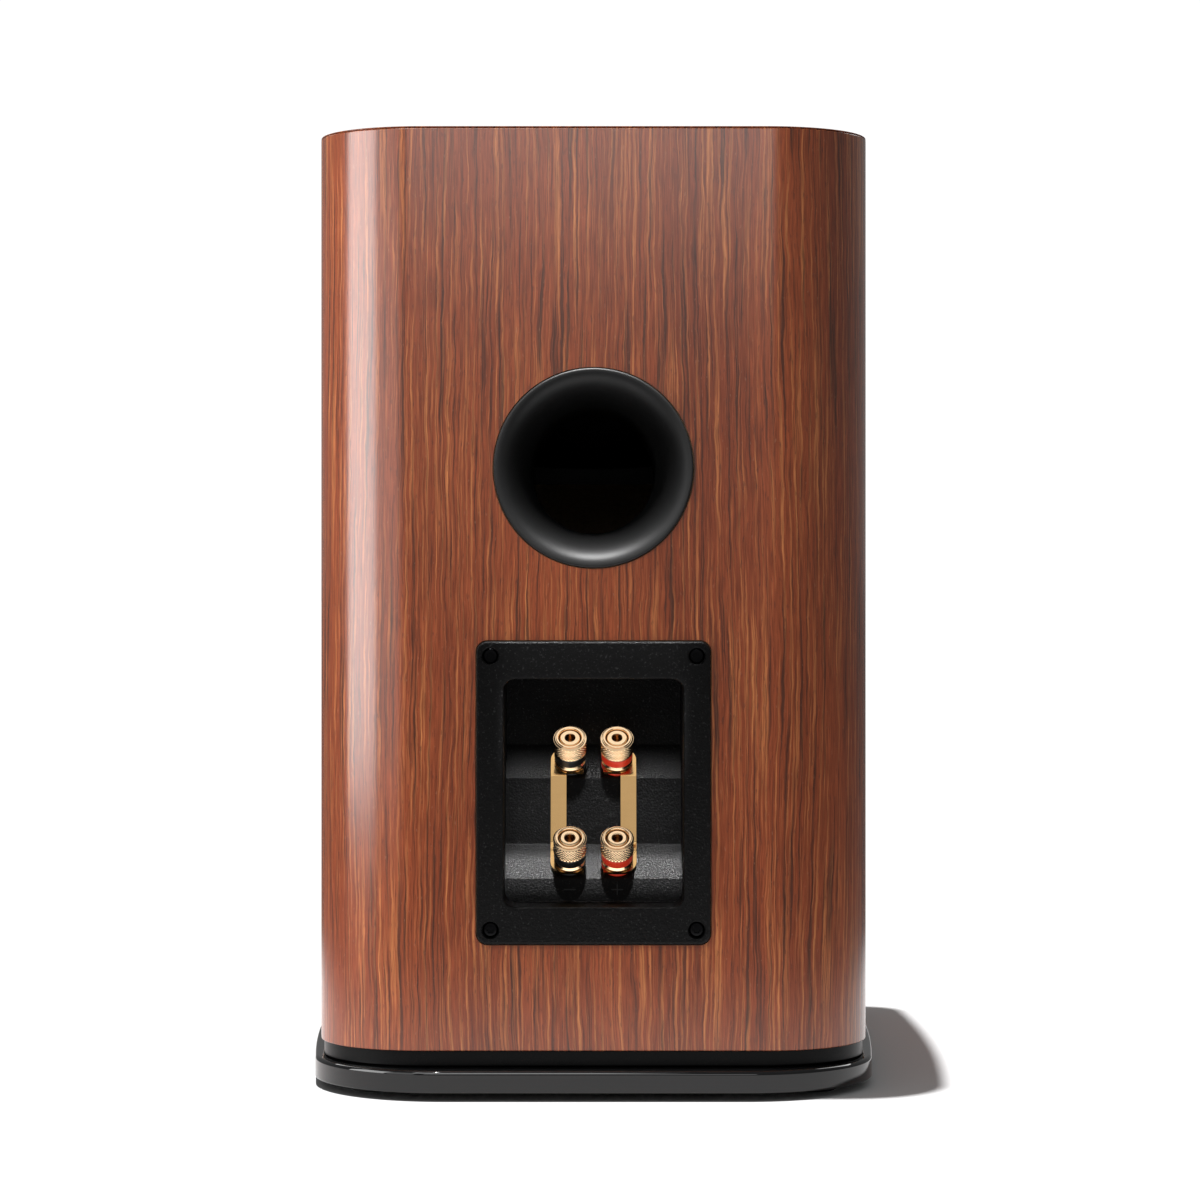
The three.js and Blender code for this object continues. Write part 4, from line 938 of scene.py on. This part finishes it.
def build_cup():
    cup = recess("terminal_cup_moulded", CUP_SKIN, CUP_SKIN / math.cos(TILT))
    keep = facing_slab("cut", rounded_rectangle(120, 160, 1), 0, FACE_Y - 1, CUP_Z)
    combine(cup, keep, "INTERSECT")
    edge = [(0.25, FACE_Y - FLANGE_THICKNESS), (0, FACE_Y - FLANGE_THICKNESS + 0.25)]
    round_over = [(1.1 * (1 - math.cos(a)), 1.1 * (1 - math.sin(a))) for a in np.linspace(0, math.pi / 2, 6)]
    edge += [(inset, FACE_Y - drop) for inset, drop in round_over]
    combine(cup, plate("flange", (FLANGE_WIDTH, FLANGE_HEIGHT, FLANGE_CORNER), edge, CUP_Z), "UNION")
    combine(cup, recess("cut", 0, 0))
    lip = [(0, FACE_Y - 1.2), (0, FACE_Y - 0.9), (-0.15, FACE_Y - 0.45), (-0.45, FACE_Y - 0.15),
           (-0.9, FACE_Y), (-0.9, FACE_Y + 1)]
    combine(cup, plate("cut", (RECESS_WIDTH, RECESS_HEIGHT, RECESS_CORNER), lip, CUP_Z))
    seat = FACE_Y - SCREW_SUNK - SCREW_HEAD_HEIGHT - GAP
    wide = SCREW_HEAD + GAP
    for x, z in SCREW_PLACES:
        hole = [[0, 100], [2, 100], [2, seat], [wide, seat], [wide, FACE_Y - 0.35], [wide + 0.35, FACE_Y],
                [wide + 0.35, 200], [0, 200]]
        combine(cup, turned("cut", hole, z, x, 40))
    for _, place, axis in post_stations():
        hole = turned("cut", [[0, -12], [4.3, -12], [4.3, 12], [0, 12]], segments=48)
        hole.data.transform(along_axis(place, axis))
        combine(cup, hole)
    stand_for(cup, "terminal_cup")


def build_screws():
    """Socket-head screws, their heads sunk in the flange."""
    top = FACE_Y - SCREW_SUNK
    under = top - SCREW_HEAD_HEIGHT
    profile = [(0, REAR_Y - 15), (0.6, REAR_Y - 15), (1.7, REAR_Y - 13), (1.7, under), (SCREW_HEAD, under),
               (SCREW_HEAD, top), (0, top)]
    outline = fillet(profile, (0, 0.1, 0.3, 0.1, 0.1, 0.7, 0), 4, closed=False)
    hexagon = arc(0, 0, 1.5, 0, 2 * math.pi, 6)[:6]
    for node in [n for n in frame["nodes"] if n.startswith("cup_screw_")]:
        low, high = box_mm(node)
        x, z = (low.x + high.x) / 2, (low.z + high.z) / 2
        screw = turned(node + "_turned", outline, z, x, 48)
        socket = facing_slab("cut", hexagon + (x, z), top - 1, top + 1)
        stand_for(combine(screw, socket), node)


def build_marks():
    """Raised minus and plus signs on the wall under the lower shelf."""
    shelf_foot = on_shelf(LOWER_SHELF, HALF_SHELF)
    lean = WALL_LEAN / (shelf_foot[1] - CUP_Z + RECESS_HEIGHT / 2)
    height = 78.0
    depth = shelf_foot[0] + (shelf_foot[1] - height) * lean
    signs = [("mark_minus", POST_X, [(4.6, 0.45)]), ("mark_plus", -POST_X, [(4.6, 0.45), (0.45, 4.2)])]
    for name, x, bars in signs:
        slabs = []
        for width, tall in bars:
            outline = rounded_rectangle(width, tall, 0.15, 3)
            slabs.append(facing_slab(name, outline, -0.1, 0.07))
        sign = slabs[0]
        for slab in slabs[1:]:
            combine(sign, slab, "UNION")
        place = Matrix.Translation((x * MM, (depth + 0.02) * MM, height * MM))
        sign.data.transform(place @ Matrix.Rotation(math.atan(lean), 4, "X"))
        paint(sign, "raised_sign")
        dress(sign, "cup_plastic")


def build_gasket():
    """A foam ring between the flange and the cabinet, with holes for the screws."""
    outer = rounded_rectangle(FLANGE_WIDTH - 1, FLANGE_HEIGHT - 1, FLANGE_CORNER - 0.5)
    low, high = box_mm("cup_gasket")
    ring = facing_slab("cup_gasket_cut", outer, low.y, high.y, CUP_Z)
    combine(ring, cup_opening())
    for x, z in SCREW_PLACES:
        combine(ring, turned("cut", [[0, 100], [2, 100], [2, 200], [0, 200]], z, x, 24))
    stand_for(ring, "cup_gasket")


# ------------------------------------------------------------------ binding posts

# Distances along a post are from the shelf's surface.
KNOB_BOTTOM = 8.7
KNOB_TOP = 16.3
KNOB_RADIUS = 6.4
BORE = 4.3
KNURLS = 30  # diamonds round a knob
KNURL_DEPTH = 0.3


JUMPER_SPAN = (1.3, 2.5)  # its faces' distances from the shelf
JUMPER_OUT = 7.5
WEB_START = 1.4
FORK_LENGTH = 5.3
TAB_WIDTH = 12
TAB_LAP = 4.6


def knurled_knob(name):
    """A turned knob, its grip cut by two crossed sets of grooves into diamonds."""
    low, high = KNOB_BOTTOM + 0.35, KNOB_TOP - 0.95
    rows, segments = 26, KNURLS * 6
    grip = np.linspace(low, high, rows + 1)
    below = [(BORE, KNOB_BOTTOM + 0.3), (BORE + 0.3, KNOB_BOTTOM), (KNOB_RADIUS - 0.55, KNOB_BOTTOM),
             (KNOB_RADIUS - 0.2, KNOB_BOTTOM + 0.1)]
    above = [(KNOB_RADIUS - 0.2, high + 0.05), (5.75, high + 0.48), (5.38, high + 0.52), (5.36, high + 0.62),
             (5.52, high + 0.7), (5.5, KNOB_TOP - 0.14), (5.34, KNOB_TOP), (4.9, KNOB_TOP),
             (4.68, KNOB_TOP - 0.1), (4.45, KNOB_TOP - 0.45), (BORE, KNOB_TOP - 1.2)]
    profile = np.array(below + [(KNOB_RADIUS, y) for y in grip] + above)
    pitch = 2 * math.pi * KNOB_RADIUS / KNURLS
    points = []
    for k in range(segments):
        angle = k / segments * 2 * math.pi
        radii = profile[:, 0].copy()
        for row, y in enumerate(grip):
            around, up = angle / (2 * math.pi) * KNURLS, (y - low) / pitch
            ridges = [abs(((around + way * up) % 1) - 0.5) * 2 for way in (1, -1)]
            fade = min(1, (y - low) / 0.25, (high - y) / 0.25)
            radii[len(below) + row] -= KNURL_DEPTH * (1 - min(ridges)) * fade
        points.append(np.column_stack([radii * math.cos(angle), profile[:, 1], radii * math.sin(angle)]))
    return loft(name, points, closed=True)


def build_post(name, place, axis):
    pole = name.split("_")[1]
    matrix = along_axis(place, axis)
    stud = fillet([(0, -16), (2.5, -16), (2.5, -5.2), (4, -5.2), (4, 16.0), (2, 16.0), (2, 2), (0, 1)],
                  (0, 0.5, 0.1, 0.3, 0.75, 0.35, 0.1, 0), 5, closed=False)
    stud = turned(f"post_stud_{name}_turned", stud, segments=64)
    wire_hole = turned("cut", [[0, -6], [1.5, -6], [1.5, 6], [0, 6]], segments=32)
    wire_hole.data.transform(Matrix.Translation((0, 5.2 * MM, 0)) @ Matrix.Rotation(math.pi / 2, 4, "Z"))
    combine(stud, wire_hole)
    collar = turned(f"clamp_collar_{name}_turned",
                    fillet([(BORE, 2.8), (6.1, 2.8), (6.1, 3.3), (5.3, 4.4), (BORE, 4.4)],
                           (0.15, 0.2, 0.25, 0.2, 0.15), 4), segments=80)
    ring = turned(f"polarity_ring_{name}_moulded",
                  fillet([(BORE, 4.7), (6.15, 4.7), (6.15, 8.4), (BORE, 8.4)],
                         (0.2, 0.4, 0.3, 0.2), 4), segments=80)
    knob = knurled_knob(f"post_knob_{name}_knurled")
    washer = turned(f"post_washer_{name}", fillet([(BORE, 0.05), (6.1, 0.05), (6.1, 1.0), (BORE, 1.0)],
                                                   (0.1, 0.1, 0.25, 0.1), 3), segments=64)
    for piece, node in [(stud, "post_stud_"), (collar, "clamp_collar_"), (ring, "polarity_ring_"),
                        (knob, "post_knob_")]:
        piece.data.transform(matrix)
        stand_for(piece, node + name)
    washer.data.transform(matrix)
    dress(washer, "red_plastic" if pole == "positive" else "black_plastic")


def jumper_tab(shelf, foot, head, post_x, side):
    """A tab open towards the other pole, with outer corners of radius foot below and head above."""
    middle, tip, outer = TAB_WIDTH / 2, -FORK_LENGTH, JUMPER_OUT
    around = fillet([(tip, -middle), (outer, -middle), (outer, middle), (tip, middle)],
                    (0.3, foot, head, 0.3), 8)[::-1]
    slot = arc(0, 0, BORE, -math.pi / 2, math.pi / 2, 24)
    outline = np.vstack([around, [[tip, -BORE]], slot, [[tip, BORE]]])
    tab = facing_slab("tab", outline * (side, 1), *JUMPER_SPAN)
    depth, height = on_shelf(shelf, POST_DOWN)
    place = Matrix.Translation((post_x * MM, depth * MM, height * MM))
    tab.data.transform(place @ Matrix.Rotation(TILT, 4, "X"))
    return tab


def build_jumper(node, post_x):
    """A bent brass strip: a forked tab under each knob and a narrow web between them."""
    side = math.copysign(1, post_x)
    path = fillet([on_shelf(UPPER_SHELF, POST_DOWN + TAB_LAP), on_shelf(UPPER_SHELF, HALF_SHELF),
                   on_shelf(LOWER_SHELF, -HALF_SHELF), on_shelf(LOWER_SHELF, POST_DOWN - TAB_LAP)],
                  (0, 1.2, 4.5, 0), 8, closed=False)
    ahead = np.gradient(path, axis=0)
    ahead /= np.linalg.norm(ahead, axis=1)[:, None]
    normal = np.column_stack([-ahead[:, 1], ahead[:, 0]])
    under, over = [path + normal * distance for distance in JUMPER_SPAN]
    across = sorted([post_x + side * JUMPER_OUT, post_x + side * WEB_START])
    strip = sideways_slab(node + "_bent", np.vstack([under, over[::-1]]), *across)
    combine(strip, jumper_tab(UPPER_SHELF, 0.3, 5.4, post_x, side), "UNION")
    combine(strip, jumper_tab(LOWER_SHELF, 5.4, 0.3, post_x, side), "UNION")
    soften(strip, 0.38, angle=50, segments=4)
    paint(strip, "bent_brass")
    stand_for(strip, node)


# ------------------------------------------------------------------ woofer

WOOFER_Z = 134
TWEETER_Z = 292
WOOFER_FLANGE = 86
WOOFER_HOLE = 75.6


def from_front(profile):
    """[radius, depth] pairs as [radius, y]."""
    return np.asarray(profile, float) + (0, FRONT_Y)


def bends_with(piece):
    """Smooth shading, and the piece's place baked into its points."""
    piece.data.shade_smooth()
    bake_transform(piece)


def woofer_surround():
    """A half-roll of rubber with flat lands glued to the cone and the basket."""
    middle, roll, skin, land = 67.6, 4.0, 0.7, 1.7
    outside = arc(middle, land, roll, math.pi, 0, 28) * (1, -1) + (0, 2 * land)
    inside = arc(middle, land, roll - skin, 0, math.pi, 28) * (1, -1) + (0, 2 * land)
    profile = joined([[60.6, land], [60.6, land - 0.8]], outside, [[75.4, land - 0.8], [75.4, land]], inside)
    piece = turned("woofer_surround_moulded", from_front(profile), WOOFER_Z, segments=160)
    bends_with(piece)
    dress(piece, "surround_rubber", None, ["woofer_surround"])


def woofer_spider():
    """A corrugated disc of cloth between the coil and the basket."""
    radii = np.linspace(19.5, 48, 58)
    share = np.clip((radii - 21) / 3, 0, 1) * np.clip((45 - radii) / 3, 0, 1)
    waves = 49 + 0.95 * share * np.sin((radii - 22) / 3.4 * math.pi)
    front = np.column_stack([radii, waves - 0.25])
    back = np.column_stack([radii, waves + 0.25])[::-1]
    piece = turned("woofer_spider_pressed", from_front(np.vstack([front, back])), WOOFER_Z, segments=120)
    bends_with(piece)
    dress(piece, "spider_cloth", None, ["woofer_spider"])


def build_woofer():
    profiles = {
        "woofer_trim_ring": fillet([(72.8, 0.2), (72.8, -1.2), (74.5, -2.2), (84, -2.2),
                                    (88, -0.6), (88, 0.2)], (0.1, 0.8, 0.8, 2.5, 0.5, 0.1), 6),
        "woofer_cone": fillet([(63, 2), (60, 2.3), (45, 8.6), (30, 16.4), (19.7, 24),
                               (19.7, 25.4), (30, 17.6), (45, 9.8), (60, 3.4), (63, 3.1)],
                              (0.2, 6, 40, 40, 0.2, 0.2, 40, 40, 6, 0.2), 8),
        "woofer_dust_cap": fillet([(0, 11.5), (8, 12.2), (15, 14.4), (21, 18.3), (22.6, 19.9), (21.8, 20.3),
                                   (20.4, 19.1), (14.6, 15.3), (7.8, 13.1), (0, 12.4)],
                                  (0, 30, 20, 1, 0.3, 0.2, 3, 20, 30, 0), 6, closed=False),
        "woofer_voice_coil": [(18.3, 22.5), (19.1, 22.5), (19.1, 61), (20.2, 61), (20.2, 73.6), (18.3, 73.6)],
        "woofer_front_plate": fillet([(20.9, 64.3), (50, 64.3), (50, 70.3), (20.9, 70.3)], 0.5, 3),
        "woofer_magnet": fillet([(27, 70.6), (53.5, 70.6), (53.5, 88.6), (27, 88.6)], 1.2, 4),
        "woofer_pole_plate": fillet([(6, 62), (17.6, 62), (17.6, 88.9), (50, 88.9), (50, 95), (6, 95)],
                                    (1, 0.5, 0.3, 0.6, 1.5, 1), 4),
    }
    for node, profile in profiles.items():
        stand_for(turned(node + "_turned", from_front(profile), WOOFER_Z, segments=144), node)
    woofer_surround()
    woofer_spider()
    build_basket()


def build_basket():
    """A die-cast basket: flange, six windows and a rear ring that carries the motor."""
    profile = fillet([(86, 0.7), (86, 4.7), (74.6, 4.7), (71, 12), (54, 58), (52, 64), (21, 64), (21, 60.5),
                      (43, 60.5), (43, 50), (50.5, 50), (67.6, 12), (70, 4.2), (70, 2),
                      (76.4, 2), (76.4, 0.7)], 0.5, 3)
    basket = turned("woofer_basket_cast", from_front(profile), WOOFER_Z, segments=144)
    window = joined(arc(0, 0, 80, -0.36, 0.36, 10), arc(0, 0, 56, 0.36, -0.36, 8))
    for k in range(6):
        turn = k * math.pi / 3
        spin = np.array([[math.cos(turn), math.sin(turn)], [-math.sin(turn), math.cos(turn)]])
        combine(basket, facing_slab("cut", window @ spin, FRONT_Y + 15, FRONT_Y + 46, WOOFER_Z))
    stand_for(basket, "woofer_basket")


# ------------------------------------------------------------------ tweeter

GUIDE_WIDTH = 172
GUIDE_HEIGHT = 112
GUIDE_CORNER = 14
THROAT = 15
THROAT_DEPTH = 34
MOUTH = (77, 46)


def horn_ring(share, grow, count=128):
    """One ring of the horn, from a round throat at share 0 to a squarish mouth at share 1."""
    opening = 0.3 * share + 0.7 * share**2.4
    half_width = THROAT + (MOUTH[0] - THROAT) * opening + grow
    half_height = THROAT + (MOUTH[1] - THROAT) * opening + grow
    power = 2 / (2 + 0.9 * opening)
    angles = np.arange(count) / count * 2 * math.pi
    c, s = np.cos(angles), np.sin(angles)
    return np.column_stack([half_width * np.sign(c) * np.abs(c) ** power,
                            half_height * np.sign(s) * np.abs(s) ** power])


def horn(name, grow, front, rear, lip=0.0, steps=28):
    """The horn's passage, grown outwards by grow, between two depths from the front."""
    shares = np.linspace(1, 0, steps + 1)
    rings = [facing_ring(horn_ring(1, grow + lip), FRONT_Y + front, TWEETER_Z)]
    for share in shares:
        rings.append(facing_ring(horn_ring(share, grow), FRONT_Y + THROAT_DEPTH * (1 - share), TWEETER_Z))
    rings.append(facing_ring(horn_ring(0, grow), FRONT_Y + rear, TWEETER_Z))
    return loft(name, rings)


def build_tweeter():
    face = FRONT_Y - 1.2
    rear = FRONT_Y + 3 - GAP
    edge = [(0.2, rear), (0, rear - 0.2)]
    edge += [(1 - math.cos(a), face + 1 - math.sin(a)) for a in np.linspace(0, math.pi / 2, 6)]
    guide = plate("waveguide_moulded", (GUIDE_WIDTH, GUIDE_HEIGHT, GUIDE_CORNER), edge, TWEETER_Z)
    shell = horn("shell", 2.5, 1.5, THROAT_DEPTH)
    combine(shell, facing_slab("cut", rounded_rectangle(300, 300, 1), -200, FRONT_Y + 1, TWEETER_Z))
    boss = fillet([(0, 26), (24, 26), (24, THROAT_DEPTH), (0, THROAT_DEPTH)], (0, 0.5, 0.3, 0), 3,
                  closed=False)
    boss = turned("boss", from_front(boss), TWEETER_Z)
    combine(guide, shell, "UNION")
    combine(guide, boss, "UNION")
    combine(guide, horn("cut", 0, -3, THROAT_DEPTH + 2, lip=0.6))
    stand_for(guide, "waveguide")
    dome = fillet([(0, 30.6), (4, 30.9), (8, 32.1), (11, 33.9), (12.8, 35.9),
                   (12.3, 36.2), (10.6, 34.5), (7.8, 32.7), (3.9, 31.5), (0, 31.2)],
                  (0, 10, 10, 10, 0.1, 0.1, 10, 10, 10, 0), 6, closed=False)
    stand_for(turned("tweeter_dome_spun", from_front(dome), TWEETER_Z), "tweeter_dome")
    roll = fillet([(13.1, 36.2), (13.1, 35.7), (14.4, 34.7), (15.8, 35.7), (15.8, 36.2), (14.4, 35.3)],
                  (0, 0.3, 1.2, 0.3, 0, 1.0), 6)
    surround = turned("tweeter_surround_moulded", from_front(roll), TWEETER_Z)
    bends_with(surround)
    dress(surround, "surround_rubber", None, ["tweeter_surround"])
    motor = fillet([(0, 38.5), (16.1, 38.5), (16.1, 34.3), (35, 34.3), (35, 62), (30, 68), (0, 68)],
                   (0, 0.3, 0.5, 1, 1.5, 1.5, 0), 4, closed=False)
    stand_for(turned("tweeter_motor_turned", from_front(motor), TWEETER_Z), "tweeter_motor")


# ------------------------------------------------------------------ what stays from the frame

def dress_frame():
    """Every node that no piece stands for keeps its own mesh and gets its slot's finish."""
    for name, node in frame["nodes"].items():
        if not node.hide_render:
            node.data.materials.clear()
            node.data.materials.append(finish_of(SLOT_OF[name]))


bpy.context.scene.view_settings.view_transform = "Standard"
build_camera()
build_studio()
build_wrap()
build_top()
build_baffle()
build_plinth()
build_port()
build_cup()
build_screws()
build_marks()
build_gasket()
for station in post_stations():
    build_post(*station)
build_jumper("jumper_negative", POST_X)
build_jumper("jumper_positive", -POST_X)
build_woofer()
build_tweeter()
dress_frame()
build_lights(build_floor())
